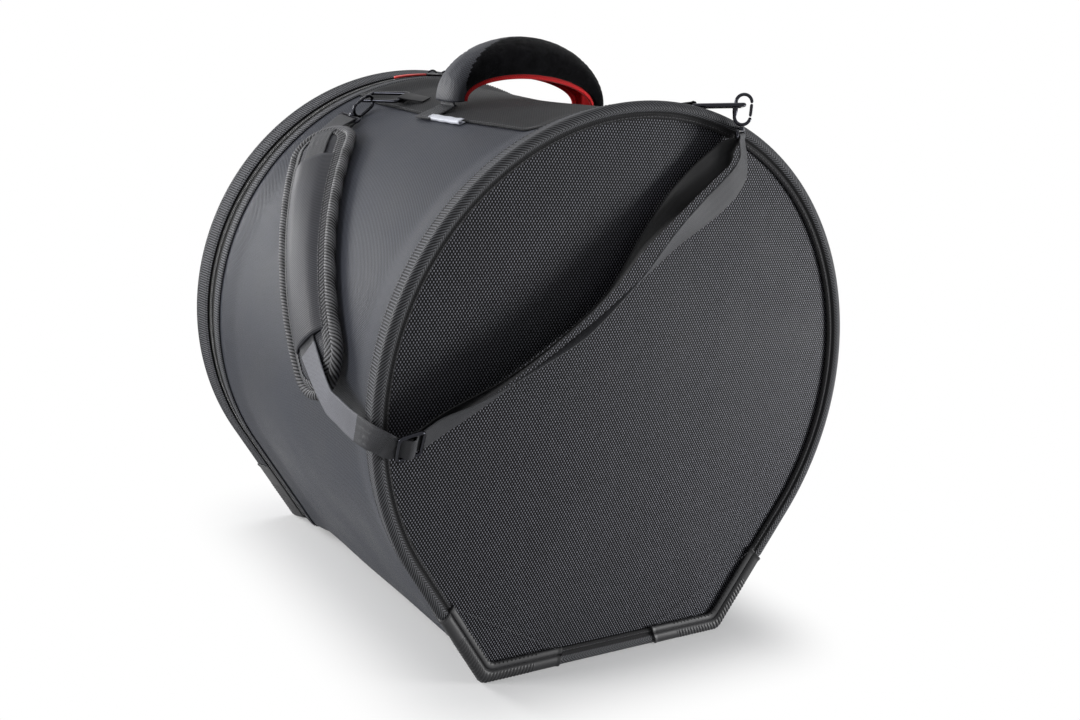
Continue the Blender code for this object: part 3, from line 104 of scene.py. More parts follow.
class Body(Enum):
    """Bodies of the frame that pieces ride on."""

    BAG = "bag"
    LID = "lid"
    HANDLE = "handle"
    SLIDER_LEFT = "slider_left"
    SLIDER_RIGHT = "slider_right"
    PULL_LEFT = "pull_left"
    PULL_RIGHT = "pull_right"
    HOOK_FRONT = "hook_front"
    HOOK_REAR = "hook_rear"
    GATE_FRONT = "gate_front"
    GATE_REAR = "gate_rear"


class Mapping(Enum):
    """Coordinates that a pattern is laid out on."""

    OBJECT = "object"
    CLOTH = "cloth"


# Nodes and finishes
def linear(code: str) -> tuple[float, float, float, float]:
    """Linear colour of an sRGB hex value.

    Args:
        code: Six hex digits.

    Returns:
        Red, green, blue and an alpha of one.
    """
    parts = [int(code[index : index + 2], 16) / 255 for index in (0, 2, 4)]
    values = [part / 12.92 if part <= 0.04045 else ((part + 0.055) / 1.055) ** 2.4 for part in parts]
    return values[0], values[1], values[2], 1.0


def feed(tree: Tree, node: bpy.types.Node, links: dict) -> None:
    """Give inputs of a node their values or their links.

    Args:
        tree: Node tree that holds the node.
        node: The node.
        links: Value or output socket for each input.
    """
    for name, value in links.items():
        if isinstance(value, bpy.types.NodeSocket):
            tree.links.new(value, node.inputs[name])
        else:
            node.inputs[name].default_value = value


def add_node(tree: Tree, kind: str, links: dict | None = None, **settings) -> bpy.types.Node:
    """Add a node with its settings and links.

    Args:
        tree: Node tree that takes the node.
        kind: Node type, without its Shader prefix.
        links: Value or output socket for each input.
        settings: Values of the node's own properties.

    Returns:
        The new node.
    """
    node = tree.nodes.new(f"ShaderNode{kind}")
    for key, value in settings.items():
        setattr(node, key, value)
    feed(tree, node, links or {})
    return node


@dataclass(frozen=True)
class Finish:
    """A plain finish with fine grain; subclasses draw the pattern of a cloth.

    The pattern is a number from 0 in the gaps to 1 on the threads. It mixes the two colours and
    sets the bump's height.
    """

    name: str
    gap: str
    thread: str
    roughness: float = 0.6
    sheen: float = 0.0
    specular: float = 0.5
    metallic: float = 0.0
    bump: float = 0.3 * MM
    mapping: Mapping = Mapping.OBJECT
    mottle: float = 0.18
    mottle_scale: float = 14.0
    wear: float = 0.05
    grain_scale: float = 1400.0
    sheen_roughness: float = 0.4
    relief: float = 0.8

    def coordinates(self, tree: Tree) -> Socket:
        """Socket with the pattern's coordinates, in metres.

        Args:
            tree: The material's nodes.

        Returns:
            The socket.
        """
        if self.mapping is Mapping.CLOTH:
            return add_node(tree, "UVMap", uv_map=UV_NAME).outputs["UV"]
        return add_node(tree, "TexCoord").outputs["Object"]

    def pattern(self, tree: Tree, place: Socket) -> Socket:
        """Socket with the pattern: here, fine grain."""
        grain = {"Vector": place, "Scale": self.grain_scale, "Detail": 3.0}
        return add_node(tree, "TexNoise", grain).outputs["Fac"]

    def waves(self, tree: Tree, place: Socket, steps: tuple, distortion: float = 0.0) -> Socket:
        """Straight ribs from 0 to 1.

        Args:
            tree: The material's nodes.
            place: Coordinates in metres.
            steps: Ribs per metre along each coordinate; their sum sets the direction.
            distortion: How much the ribs wander.

        Returns:
            Socket with the ribs.
        """
        scale = [step * math.tau / 10 for step in steps]
        turned = add_node(tree, "Mapping", {"Vector": place, "Scale": scale}).outputs["Vector"]
        links = {"Vector": turned, "Scale": 1.0, "Distortion": distortion, "Detail Scale": 2.0}
        return add_node(tree, "TexWave", links, bands_direction="DIAGONAL").outputs["Fac"]

    def material(self) -> bpy.types.Material:
        """The finish's material, made once.

        Returns:
            The material.
        """
        found = bpy.data.materials.get(self.name)
        if found:
            return found
        made = bpy.data.materials.new(self.name)
        made.use_nodes = True
        tree = made.node_tree
        raised = self.pattern(tree, self.coordinates(tree))
        solid = add_node(tree, "TexCoord").outputs["Object"]
        wear = add_node(tree, "TexNoise", {"Vector": solid, "Scale": self.mottle_scale, "Detail": 4.0})
        colours = {"Factor": raised, "A": linear(self.gap), "B": linear(self.thread)}
        colour = add_node(tree, "Mix", colours, data_type="RGBA").outputs["Result"]
        worn = {"Value": wear.outputs["Fac"], "From Min": WEAR_SPAN[0], "From Max": WEAR_SPAN[1]}
        shades = {"To Min": 1 - self.mottle, "To Max": 1 + self.mottle}
        shade = add_node(tree, "MapRange", worn | shades).outputs["Result"]
        toned = add_node(tree, "VectorMath", {0: colour, "Scale": shade}, operation="SCALE")
        roughs = {"To Min": self.roughness - self.wear, "To Max": self.roughness + self.wear}
        rough = add_node(tree, "MapRange", worn | roughs).outputs["Result"]
        bump = add_node(tree, "Bump", {"Strength": self.relief, "Distance": self.bump, "Height": raised})
        feed(tree, tree.nodes["Principled BSDF"], {
            "Base Color": toned.outputs["Vector"],
            "Roughness": rough,
            "Normal": bump.outputs["Normal"],
            "Metallic": self.metallic,
            "Sheen Weight": self.sheen,
            "Sheen Roughness": self.sheen_roughness,
            "Specular IOR Level": self.specular,
        })
        return made


@dataclass(frozen=True)
class BasketWeave(Finish):
    """Ballistic nylon: paired threads that show as dots in staggered rows."""

    step_x: float = 3.2 * MM
    step_z: float = 4.8 * MM

    def pattern(self, tree: Tree, place: Socket) -> Socket:
        """Dots where two slanting sets of ribs meet.

        Args:
            tree: The material's nodes.
            place: Coordinates in metres.

        Returns:
            Socket with the dots.
        """
        rising = self.waves(tree, place, (1 / self.step_x, 0.0, 1 / self.step_z), 0.3)
        falling = self.waves(tree, place, (1 / self.step_x, 0.0, -1 / self.step_z), 0.3)
        both = add_node(tree, "Math", {0: rising, 1: falling}, operation="ADD").outputs["Value"]
        span = {"Value": both, "From Min": 1.0, "From Max": 1.95}
        return add_node(tree, "MapRange", span, interpolation_type="SMOOTHSTEP").outputs["Result"]


@dataclass(frozen=True)
class Twill(Finish):
    """Cloth with fine slanting ribs crossed by finer threads."""

    mapping: Mapping = Mapping.CLOTH
    rib: float = 1.6 * MM
    slant: float = 1.0
    cross: float = 1.2 * MM

    def pattern(self, tree: Tree, place: Socket) -> Socket:
        """Slanting ribs cut by a second set.

        Args:
            tree: The material's nodes.
            place: Coordinates in metres.

        Returns:
            Socket with the ribs.
        """
        ribs = self.waves(tree, place, (1 / self.rib, self.slant / self.rib, 0.0), 0.2)
        threads = self.waves(tree, place, (-1 / self.cross, self.slant / self.cross, 0.0), 0.2)
        both = add_node(tree, "Math", {0: ribs, 1: threads}, operation="ADD").outputs["Value"]
        span = {"Value": both, "From Min": 0.3, "From Max": 1.8}
        return add_node(tree, "MapRange", span).outputs["Result"]


@dataclass(frozen=True)
class Herringbone(Finish):
    """Woven tape whose ribs turn at each column, laid along the cloth's own length."""

    mapping: Mapping = Mapping.CLOTH
    rib: float = 1.8 * MM
    column: float = 6.0 * MM
    lean: float = 0.9

    def pattern(self, tree: Tree, place: Socket) -> Socket:
        """Ribs along the length, pushed to and fro across the width.

        Args:
            tree: The material's nodes.
            place: Coordinates in metres.

        Returns:
            Socket with the ribs.
        """
        parts = add_node(tree, "SeparateXYZ", {"Vector": place}).outputs
        across = add_node(tree, "Math", {0: parts["Y"], 1: self.column}, operation="PINGPONG")
        leaning = {0: across.outputs["Value"], 1: self.lean, 2: parts["X"]}
        pushed = add_node(tree, "Math", leaning, operation="MULTIPLY_ADD").outputs["Value"]
        along = add_node(tree, "CombineXYZ", {"X": pushed}).outputs["Vector"]
        ribs = self.waves(tree, along, (1 / self.rib, 0.0, 0.0), 0.15)
        span = {"Value": ribs, "From Min": 0.15, "From Max": 0.85}
        return add_node(tree, "MapRange", span).outputs["Result"]


@dataclass(frozen=True)
class Pile(Finish):
    """Velour: short pile with brushed, cloudy patches."""

    patch_scale: float = 90.0

    def pattern(self, tree: Tree, place: Socket) -> Socket:
        """Brushed patches over fine pile.

        Args:
            tree: The material's nodes.
            place: Coordinates in metres.

        Returns:
            Socket with the pile.
        """
        pile = {"Vector": place, "Scale": self.grain_scale, "Detail": 2.0}
        fine = add_node(tree, "TexNoise", pile).outputs["Fac"]
        clouds = {"Vector": place, "Scale": self.patch_scale, "Detail": 5.0, "Distortion": 0.8}
        patches = add_node(tree, "TexNoise", clouds).outputs["Fac"]
        both = add_node(tree, "Math", {0: fine, 1: patches}, operation="MULTIPLY").outputs["Value"]
        span = {"Value": both, "From Min": 0.12, "From Max": 0.45}
        return add_node(tree, "MapRange", span).outputs["Result"]


@dataclass(frozen=True)
class Palette:
    """Every finish of the bag."""

    # Coated nylon, woven so fine that it reads as smooth with a broad soft gloss
    side: Finish = Twill(
        "coated_nylon", "050507", "50535d", 0.5, 0.0, 0.14, bump=0.4 * MM, mottle=0.12,
        rib=3.0 * MM, cross=2.4 * MM,
    )
    # Ballistic nylon: coarse basket weave whose raised threads catch the light as grey dots
    panel: Finish = BasketWeave(
        "ballistic_nylon", "010102", "86878f", 0.60, 0.0, 0.1, bump=0.4 * MM, mottle=0.08
    )
    # Twill nylon of the top panel
    top: Finish = Twill(
        "twill_nylon", "030304", "2a2b2e", 0.65, 0.0, 0.12, bump=0.3 * MM,
        rib=3.0 * MM, cross=2.6 * MM, slant=0.7,
    )
    # Grosgrain tape folded over the rim, ribbed across on the wall side
    tape_ribs: Finish = Herringbone(
        "grosgrain_tape", "040405", "5e5f64", 0.7, 0.0, 0.2, bump=0.5 * MM, rib=2.8 * MM, lean=0.0
    )
    # Herringbone tape on the ridge and the front face
    tape: Finish = Herringbone(
        "herringbone_tape", "030304", "55565a", 0.65, 0.0, 0.25, bump=0.5 * MM, rib=3.4 * MM,
        column=11.0 * MM, lean=1.2,
    )
    # The same tape pressed flat inside its stitched groove, darker there: painted shade of the groove
    tape_groove_shade: Finish = Herringbone(
        "pressed_tape_painted_shade", "060607", "262628", 0.7, 0.0, 0.2, bump=0.3 * MM, rib=2.4 * MM,
        column=4.0 * MM, lean=1.0,
    )
    # Herringbone tape of the pad's corded edge
    cord: Finish = Herringbone(
        "corded_tape", "060606", "727275", 0.6, 0.0, 0.25, bump=0.4 * MM, rib=4.2 * MM,
        column=40.0 * MM, lean=0.74,
    )
    # Moulded vinyl corner patch: even, with a soft gloss
    vinyl: Finish = Finish("moulded_vinyl", "1c1c1e", "29292b", 0.5, 0.0, 0.4, bump=0.08 * MM)
    # Polypropylene webbing with a fine herringbone
    webbing: Finish = Herringbone(
        "woven_webbing", "222224", "4a4b4f", 0.6, 0.0, 0.3, bump=0.15 * MM, rib=1.3 * MM,
        column=3.1 * MM, lean=1.0,
    )
    # Fine oxford nylon of the shoulder pad
    pad: Finish = Herringbone(
        "oxford_nylon", "1c1c1f", "43444a", 0.55, 0.0, 0.2, bump=0.12 * MM, rib=2.2 * MM,
        column=60.0 * MM, lean=0.0,
    )
    # Cotton velour: deep black, lifted only where the pile is brushed
    velour: Finish = Pile(
        "cotton_velour", "030304", "131316", 0.95, 0.12, 0.05, bump=0.5 * MM, grain_scale=2400.0
    )
    # Satin nylon on the handle's wrapped ends
    satin: Finish = Twill(
        "satin_nylon", "050506", "474951", 0.5, 0.0, 0.2, bump=0.3 * MM,
        rib=3.0 * MM, cross=2.4 * MM,
    )
    # Dyed polyester lining of the handle
    red: Finish = Twill(
        "red_polyester", "a01015", "f01c22", 0.75, 0.2, 0.3, bump=0.25 * MM, rib=2.2 * MM
    )
    # Soft moulded rubber of the zip pulls
    pull: Finish = Finish("moulded_rubber", "d02a28", "e8403a", 0.45, 0.0, 0.5, bump=0.05 * MM)
    # Woven satin ribbon of the tag
    tag: Finish = Twill("satin_ribbon", "b4b7c2", "dcdfe8", 0.5, 0.1, 0.4, bump=0.05 * MM)
    # Brushed tricot lining inside
    lining: Finish = Finish("tricot_lining", "0a0a0b", "161618", 0.85, 0.0, 0.15, bump=0.2 * MM)
    # Zip tape: ribbed across
    zip_tape: Finish = Herringbone(
        "zip_tape", "060607", "303034", 0.7, 0.0, 0.3, bump=0.3 * MM, rib=1.8 * MM, lean=0.0
    )
    # Nylon coil of the zip
    coil: Finish = Finish("nylon_coil", "18181a", "2a2a2c", 0.4, 0.0, 0.5, bump=0.03 * MM)
    # Black nickel plating: dark, with hard bright reflections
    metal: Finish = Finish(
        "black_nickel", "26262a", "303136", 0.16, 0.0, 0.5, metallic=1.0, bump=0.01 * MM, mottle=0.05
    )
    # Bonded sewing thread
    thread: Finish = Finish("bonded_thread", "2a2a2c", "5c5c60", 0.55, 0.0, 0.4, bump=0.03 * MM)
    # Near-black grains of painted shade, standing for the shaded slots between a patch's teeth
    slot_painted_shade: Finish = Finish("painted_slot_shade", "020202", "0c0c0c", 0.6, 0.0, 0.2, bump=0.03 * MM)
    # Webbing with a plain pale printed ground
    webbing_pale: Finish = Herringbone(
        "pale_webbing", "4c4d52", "7c7d84", 0.6, 0.0, 0.3, bump=0.15 * MM, rib=1.6 * MM,
        column=3.1 * MM, lean=1.0,
    )
    # Near-black copy of the webbing for the strap's inner run: painted shade
    webbing_painted_shade: Finish = Herringbone(
        "painted_shade_webbing", "0c0c0d", "222224", 0.6, 0.0, 0.2, bump=0.12 * MM, rib=1.3 * MM,
        column=3.1 * MM, lean=1.0,
    )


PALETTE = Palette()


# Curves and tables
def spaced(first: float, last: float, count: int) -> list[float]:
    """Even values from the first to the last, a count of spans apart."""
    return [first + (last - first) * step / count for step in range(count + 1)]


def in_mm(pairs: list[Pair]) -> list[Pair]:
    """Pairs given in millimetres, in metres."""
    return [(first * MM, second * MM) for first, second in pairs]


def flipped(pairs: list[Pair]) -> list[Pair]:
    """Mirror image of a half section, in the order that closes it."""
    return [(-across, depth) for across, depth in reversed(pairs)]


def polar(turn: float) -> Vector:
    """Flat unit vector at a turn."""
    return Vector((math.cos(turn), math.sin(turn)))


def smooth_table(value: float, places: Sequence[float], amounts: Sequence[float]) -> float:
    """Smooth value of a table at a place, flat beyond its ends.

    Args:
        value: Where the table is read.
        places: Rising places of the table.
        amounts: Amount at each place.

    Returns:
        The amount there.
    """
    if value <= places[0]:
        return amounts[0]
    if value >= places[-1]:
        return amounts[-1]
    index = bisect_right(places, value) - 1
    share = (value - places[index]) / (places[index + 1] - places[index])
    share = share * share * (3 - 2 * share)
    return amounts[index] + (amounts[index + 1] - amounts[index]) * share


def rounded(points: Points, rounds: int, closed: bool = True) -> Points:
    """Cut a polyline's corners so that it turns softly.

    Args:
        points: The polyline.
        rounds: How many times its corners are cut.
        closed: Whether its ends join.

    Returns:
        The softer polyline.
    """
    for _ in range(rounds):
        softer = []
        for start, end in zip(points, points[1:] + points[:1] if closed else points[1:]):
            softer += [start.lerp(end, 0.25), start.lerp(end, 0.75)]
        if not closed:
            softer = [points[0]] + softer[1:-1] + [points[-1]]
        points = softer
    return points


def hermite(points: Points, turns: Points, steps: int) -> tuple[Points, Points]:
    """Smooth curve through points, with a direction turned along it.

    Args:
        points: Places that the curve goes through.
        turns: Direction at each place.
        steps: Spans between two far points.

    Returns:
        Places and directions along the curve.
    """
    places: Points = []
    ways: Points = []
    last = len(points) - 1
    for index in range(last):
        start = points[index]
        end = points[index + 1]
        length = (end - start).length
        leave = (end - points[max(0, index - 1)]).normalized() * length
        arrive = (points[min(last, index + 2)] - start).normalized() * length
        for step in range(steps):
            t = step / steps
            near = start * (2 * t**3 - 3 * t**2 + 1) + leave * (t**3 - 2 * t**2 + t)
            far = end * (3 * t**2 - 2 * t**3) + arrive * (t**3 - t**2)
            places.append(near + far)
            ways.append(turns[index].lerp(turns[index + 1], t))
    places.append(points[-1])
    ways.append(turns[-1])
    return places, ways


def lengths(points: Points, closed: bool = False) -> list[float]:
    """Distance run at each point of a polyline.

    Args:
        points: The polyline.
        closed: Whether the last point joins the first.

    Returns:
        The distances, with the closing span last where it is closed.
    """
    runs = [0.0]
    ends = points[1:] + points[:1] if closed else points[1:]
    for start, end in zip(points, ends):
        runs.append(runs[-1] + (end - start).length)
    return runs


# Meshes
def formed(
    name: str,
    runs: list[float],
    widths: list[float],
    place: Callable[[int, int], Vector],
    part: Band | None = None,
    capped: bool = False,
) -> Piece:
    """Form a flat grid of cloth into a closed piece.

    Args:
        name: Name of the piece.
        runs: Cloth length at each row of the grid.
        widths: Cloth width at each column.
        place: Where a row and a column go; the edges that land on each other are joined.
        part: Material number at a length and a width of the cloth.
        capped: Whether open ends are filled.

    Returns:
        The piece, at the origin.
    """
    rows = len(runs) - 1
    columns = len(widths) - 1
    bm = bmesh.new()
    layer = bm.loops.layers.uv.new(UV_NAME)
    bmesh.ops.create_grid(bm, x_segments=rows, y_segments=columns, size=0.5)
    for face in bm.faces:
        for loop in face.loops:
            row = round((loop.vert.co.x + 0.5) * rows)
            column = round((loop.vert.co.y + 0.5) * columns)
            loop[layer].uv = (runs[row], widths[column])
        if part:
            middle = sum((loop[layer].uv for loop in face.loops), Vector((0.0, 0.0))) / len(face.loops)
            face.material_index = part(middle.x, middle.y)
    for vert in bm.verts:
        row = round((vert.co.x + 0.5) * rows)
        column = round((vert.co.y + 0.5) * columns)
        vert.co = place(row, column)
    bmesh.ops.remove_doubles(bm, verts=bm.verts, dist=0.005 * MM)
    if capped:
        bmesh.ops.holes_fill(bm, edges=[edge for edge in bm.edges if edge.is_boundary])
    return finished(name, bm)


def finished(name: str, bm: bmesh.types.BMesh) -> Piece:
    """Object of a finished bmesh, with its faces turned outwards.

    Args:
        name: Name of the piece.
        bm: The mesh, which is freed.

    Returns:
        The object, linked to the scene.
    """
    bmesh.ops.recalc_face_normals(bm, faces=bm.faces)
    mesh = bpy.data.meshes.new(name)
    bm.to_mesh(mesh)
    bm.free()
    mesh.shade_smooth()
    piece = bpy.data.objects.new(name, mesh)
    bpy.context.scene.collection.objects.link(piece)
    return piece


def swept(name: str, sections: list[Points], closed: bool, part: Band | None = None) -> Piece:
    """Piece through a row of closed sections.

    Args:
        name: Name of the piece.
        sections: Closed sections with the same count of points.
        closed: Whether the last section joins the first.
        part: Material number at a length and a width of the cloth.

    Returns:
        The piece.
    """
    runs = lengths([section[0] for section in sections], closed)
    widths = lengths(sections[len(sections) // 2], True)
    rows = len(sections)
    columns = len(sections[0])

    def place(row: int, column: int) -> Vector:
        """Corner of a section."""
        return sections[row % rows][column % columns]

    return formed(name, runs, widths, place, part, capped=not closed)


def wire(
    name: str,
    points: Points,
    radius: float | list[float],
    closed: bool,
    sides: int = 16,
    relief: Relief | None = None,
) -> Piece:
    """Round wire along a path.

    Args:
        name: Name of the piece.
        points: The path.
        radius: Radius of the wire, or one for each point.
        closed: Whether the wire is a ring.
        sides: Faces round the wire.
        relief: Added radius at a length and a turn round the wire.

    Returns:
        The wire.
    """
    radii = radius if isinstance(radius, list) else [radius] * len(points)
    count = len(points)
    runs = lengths(points)
    turns = [math.tau * step / sides for step in range(sides)]
    sections = []
    side = None
    for index, point in enumerate(points):
        before = points[index - 1] if closed or index else point
        after = points[(index + 1) % count] if closed or index < count - 1 else point
        tangent = (after - before).normalized()
        side = side or tangent.orthogonal()
        side = (side - tangent * side.dot(tangent)).normalized()
        other = tangent.cross(side)
        ring = []
        for turn in turns:
            reach = radii[index] + (relief(runs[index], turn) if relief else 0.0)
            ring.append(point + (side * math.cos(turn) + other * math.sin(turn)) * reach)
        sections.append(ring)
    if closed:
        first = sections[0][0]
        shift = min(range(sides), key=lambda index: (sections[-1][index] - first).length)
        for index, section in enumerate(sections):
            step = round(shift * index / (count - 1))
            sections[index] = section[step:] + section[:step]
    return swept(name, sections, closed)


def tapered(count: int, radius: float) -> list[float]:
    """Radii of an open wire with rounded ends."""
    ends = [radius * share for share in (0.45, 0.8, 0.96)]
    return ends + [radius] * (count - 2 * len(ends)) + ends[::-1]


def rounded_loop(corners: Points, radius: float, steps: int = 8) -> Points:
    """Closed loop whose corners are arcs.

    Args:
        corners: Its sharp corners.
        radius: Radius of each corner.
        steps: Spans in each corner.

    Returns:
        The loop's points.
    """
    points = []
    count = len(corners)
    for index, corner in enumerate(corners):
        back = (corners[index - 1] - corner).normalized()
        onward = (corners[(index + 1) % count] - corner).normalized()
        half = back.angle(onward) / 2
        reach = radius / math.tan(half)
        middle = corner + (back + onward).normalized() * (radius / math.sin(half))
        start = corner + back * reach - middle
        end = corner + onward * reach - middle
        sweep = start.angle(end)
        for step in range(steps + 1):
            turn = sweep * step / steps
            points.append(middle + (start * math.sin(sweep - turn) + end * math.sin(turn)) / math.sin(sweep))
    return points


def grains(name: str, frames: list[Matrix], sides: int = 6, rings: int = 4) -> Piece:
    """Many small rounded grains, such as stitches, as one piece.

    Args:
        name: Name of the piece.
        frames: Place, turn and half sizes of each grain.
        sides: Faces round a grain.
        rings: Faces along a grain.

    Returns:
        The piece.
    """
    bm = bmesh.new()
    bmesh.ops.create_uvsphere(bm, u_segments=sides, v_segments=rings, radius=1.0)
    grain = bpy.data.meshes.new(f"{name}_grain")
    bm.to_mesh(grain)
    bm.clear()
    for frame in frames:
        moved = grain.copy()
        moved.transform(frame)
        bm.from_mesh(moved)
        bpy.data.meshes.remove(moved)
    bpy.data.meshes.remove(grain)
    return finished(name, bm)


def laid(place: Vector, along: Vector, up: Vector, sizes: Triple) -> Matrix:
    """Frame of a grain laid on a surface.

    Args:
        place: Its middle.
        along: Direction of its length.
        up: Outwards direction.
        sizes: Half width, half height and half length.

    Returns:
        The frame.
    """
    along = along.normalized()
    across = up.cross(along).normalized()
    up = along.cross(across)
    turn = Matrix((across, up, along)).transposed().to_4x4()
    return Matrix.Translation(place) @ turn @ Matrix.Diagonal((*sizes, 1.0))


def stitches(name: str, path: Points, ups: Points, pitch: float = 3.2 * MM) -> Piece:
    """Row of stitches along a path.

    Args:
        name: Name of the piece.
        path: Where the seam runs.
        ups: Outwards direction at each point.
        pitch: Length of a stitch and its gap.

    Returns:
        The stitches.
    """
    runs = lengths(path)
    frames = []
    count = int(runs[-1] / pitch)
    for number in range(count):
        run = (number + 0.5) * pitch
        index = min(len(path) - 2, bisect_right(runs, run) - 1)
        share = (run - runs[index]) / max(1e-9, runs[index + 1] - runs[index])
        place = path[index].lerp(path[index + 1], share)
        up = ups[index].lerp(ups[index + 1], share)
        frames.append(laid(place, path[index + 1] - path[index], up, (*STITCH, pitch * 0.39)))
    return grains(name, frames)


def settle(piece: Piece, body: Body, slot: str, finishes: list[Finish], *nodes: str) -> None:
    """Give a piece its finishes and join it to the frame.

    Args:
        piece: The finished mesh.
        body: Body that it rides on.
        slot: Material slot of the record; not used.
        finishes: Its finishes, in the order of its material numbers.
        nodes: Nodes of the frame that it stands for.
    """
    for finish in finishes:
        piece.data.materials.append(finish.material())
    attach(piece, body.value)
    if nodes:
        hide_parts(*nodes)
    LOG.info("%s rides on %s", piece.name, body.value)


# The rim and the wall
@dataclass(frozen=True)
class End:
    """One end of the bag, and the body that its rim rides on."""

    name: str
    body: Body
    rear: bool = False


FRONT = End("front", Body.BAG)
REAR = End("rear", Body.LID, rear=True)


@dataclass
class Rim:
    """Outline of both rims: an arc closed by two straight flanks and a flat base.

    A run is the length round the outline from the base's middle, up the +X side. An inset is a
    distance inwards.
    """

    radius: float = RIM_RADIUS
    base_half: float = 0.1495
    corner: float = 0.012
    depth: float = 0.470
    steps: tuple[int, int, int, int] = (12, 10, 10, 84)
    probe: float = 10 * MM
    places: Points = field(default_factory=list)
    inwards: Points = field(default_factory=list)
    runs: list[float] = field(default_factory=list)

    def __post_init__(self) -> None:
        """Work out the outline once."""
        outer = self.side(0.0)
        inner = self.side(self.probe)
        right = [(start, (end - start) / self.probe) for start, end in zip(outer, inner)]
        left = [(Vector((-p.x, p.y)), Vector((-d.x, d.y))) for p, d in reversed(right[:-1])]
        self.places = [place for place, _ in right + left]
        self.inwards = [inward for _, inward in right + left]
        self.runs = lengths(self.places)

    @property
    def flank_angle(self) -> float:
        """Angle, from +X, at which the flank leaves the arc."""
        reach = math.hypot(self.base_half, self.radius)
        return math.acos(self.radius / reach) + math.atan2(-self.radius, self.base_half)

    @property
    def half(self) -> float:
        """Run at the top."""
        return self.runs[-1] / 2

    def side(self, inset: float) -> Points:
        """Points from the base's middle to the top, on the +X side.

        Args:
            inset: Distance inside the rim.

        Returns:
            The points.
        """
        base, corner, flank, arc = self.steps
        angle = self.flank_angle
        normal = polar(angle)
        upwards = Vector((-normal.y, normal.x))
        tip = Vector(((self.radius - inset - normal.y * (inset - self.radius)) / normal.x, inset))
        half = math.acos(-upwards.x) / 2
        middle = tip + (upwards + Vector((-1.0, 0.0))).normalized() * (self.corner / math.sin(half))
        turns = [-math.pi / 2 + (angle + math.pi / 2) * step / corner for step in range(corner + 1)]
        rounding = [middle + polar(turn) * self.corner for turn in turns]
        start = Vector((0.0, inset))
        points = [start.lerp(rounding[0], step / base) for step in range(base)] + rounding
        tangent = normal * (self.radius - inset) + Vector((0.0, self.radius))
        points += [rounding[-1].lerp(tangent, step / flank) for step in range(1, flank)]
        reach = self.radius - inset
        for turn in spaced(angle, math.pi / 2, arc):
            points.append(Vector((reach * math.cos(turn), self.radius + reach * math.sin(turn))))
        return points

    def at(self, run: float, inset: float, place: float) -> Vector:
        """Point at a run, an inset and a Y place.

        Args:
            run: Distance along the rim.
            inset: Distance inside the rim.
            place: Y place.

        Returns:
            The point.
        """
        run = run % self.runs[-1]
        index = min(len(self.runs) - 2, bisect_right(self.runs, run) - 1)
        share = (run - self.runs[index]) / (self.runs[index + 1] - self.runs[index])
        flat = self.places[index].lerp(self.places[index + 1], share)
        flat = flat + self.inwards[index].lerp(self.inwards[index + 1], share) * inset
        return Vector((flat.x, place, max(0.0, flat.y)))

    def behind(self, end: End, depth: float) -> float:
        """Y place of a depth behind one of the rims."""
        return self.depth - depth if end.rear else depth

    def outwards(self, run: float) -> Vector:
        """Outwards direction at a run."""
        return (self.at(run, 0.0, 0.0) - self.at(run, self.probe, 0.0)).normalized()

    def stations(self, step: float, start: float = 0.0, end: float | None = None) -> list[float]:
        """Runs from start to end, evenly spaced about a step apart."""
        end = self.runs[-1] if end is None else end
        return spaced(start, end, max(2, round((end - start) / step)))


@dataclass
class Wall:
    """Outer face of the tube-shaped wall, which sinks a little between the rims."""

    rim: Rim
    inset: float = 6.5 * MM
    sink: float = 4.0 * MM
    sag: float = 6.5 * MM
    places: tuple[float, ...] = (0.0243, 0.0660, 0.2350, 0.3677, 0.4097)
    sinks: tuple[float, ...] = (0.0, 1.0, 1.0, 1.0, 0.0)
    sags: tuple[float, ...] = (0.0, 0.45, 1.0, 0.50, 0.0)

    def depth(self, run: float, place: float) -> float:
        """Inset of the wall's face.

        Args:
            run: Distance along the rim.
            place: Y place.

        Returns:
            The inset.
        """
        upright = max(0.0, self.rim.outwards(run).z)
        sunk = smooth_table(place, self.places, self.sinks)
        sagged = smooth_table(place, self.places, self.sags)
        return self.inset + self.sink * sunk + self.sag * sagged * upright

    def at(self, run: float, place: float, height: float = 0.0) -> Vector:
        """Point at a height over the wall."""
        return self.rim.at(run, self.depth(run, place) - height, place)

    def on_arc(self, arc: float, place: float, height: float = 0.0) -> Vector:
        """Point over the wall at an arc length from the top, positive towards -X."""
        return self.at(self.rim.half + arc, place, height)


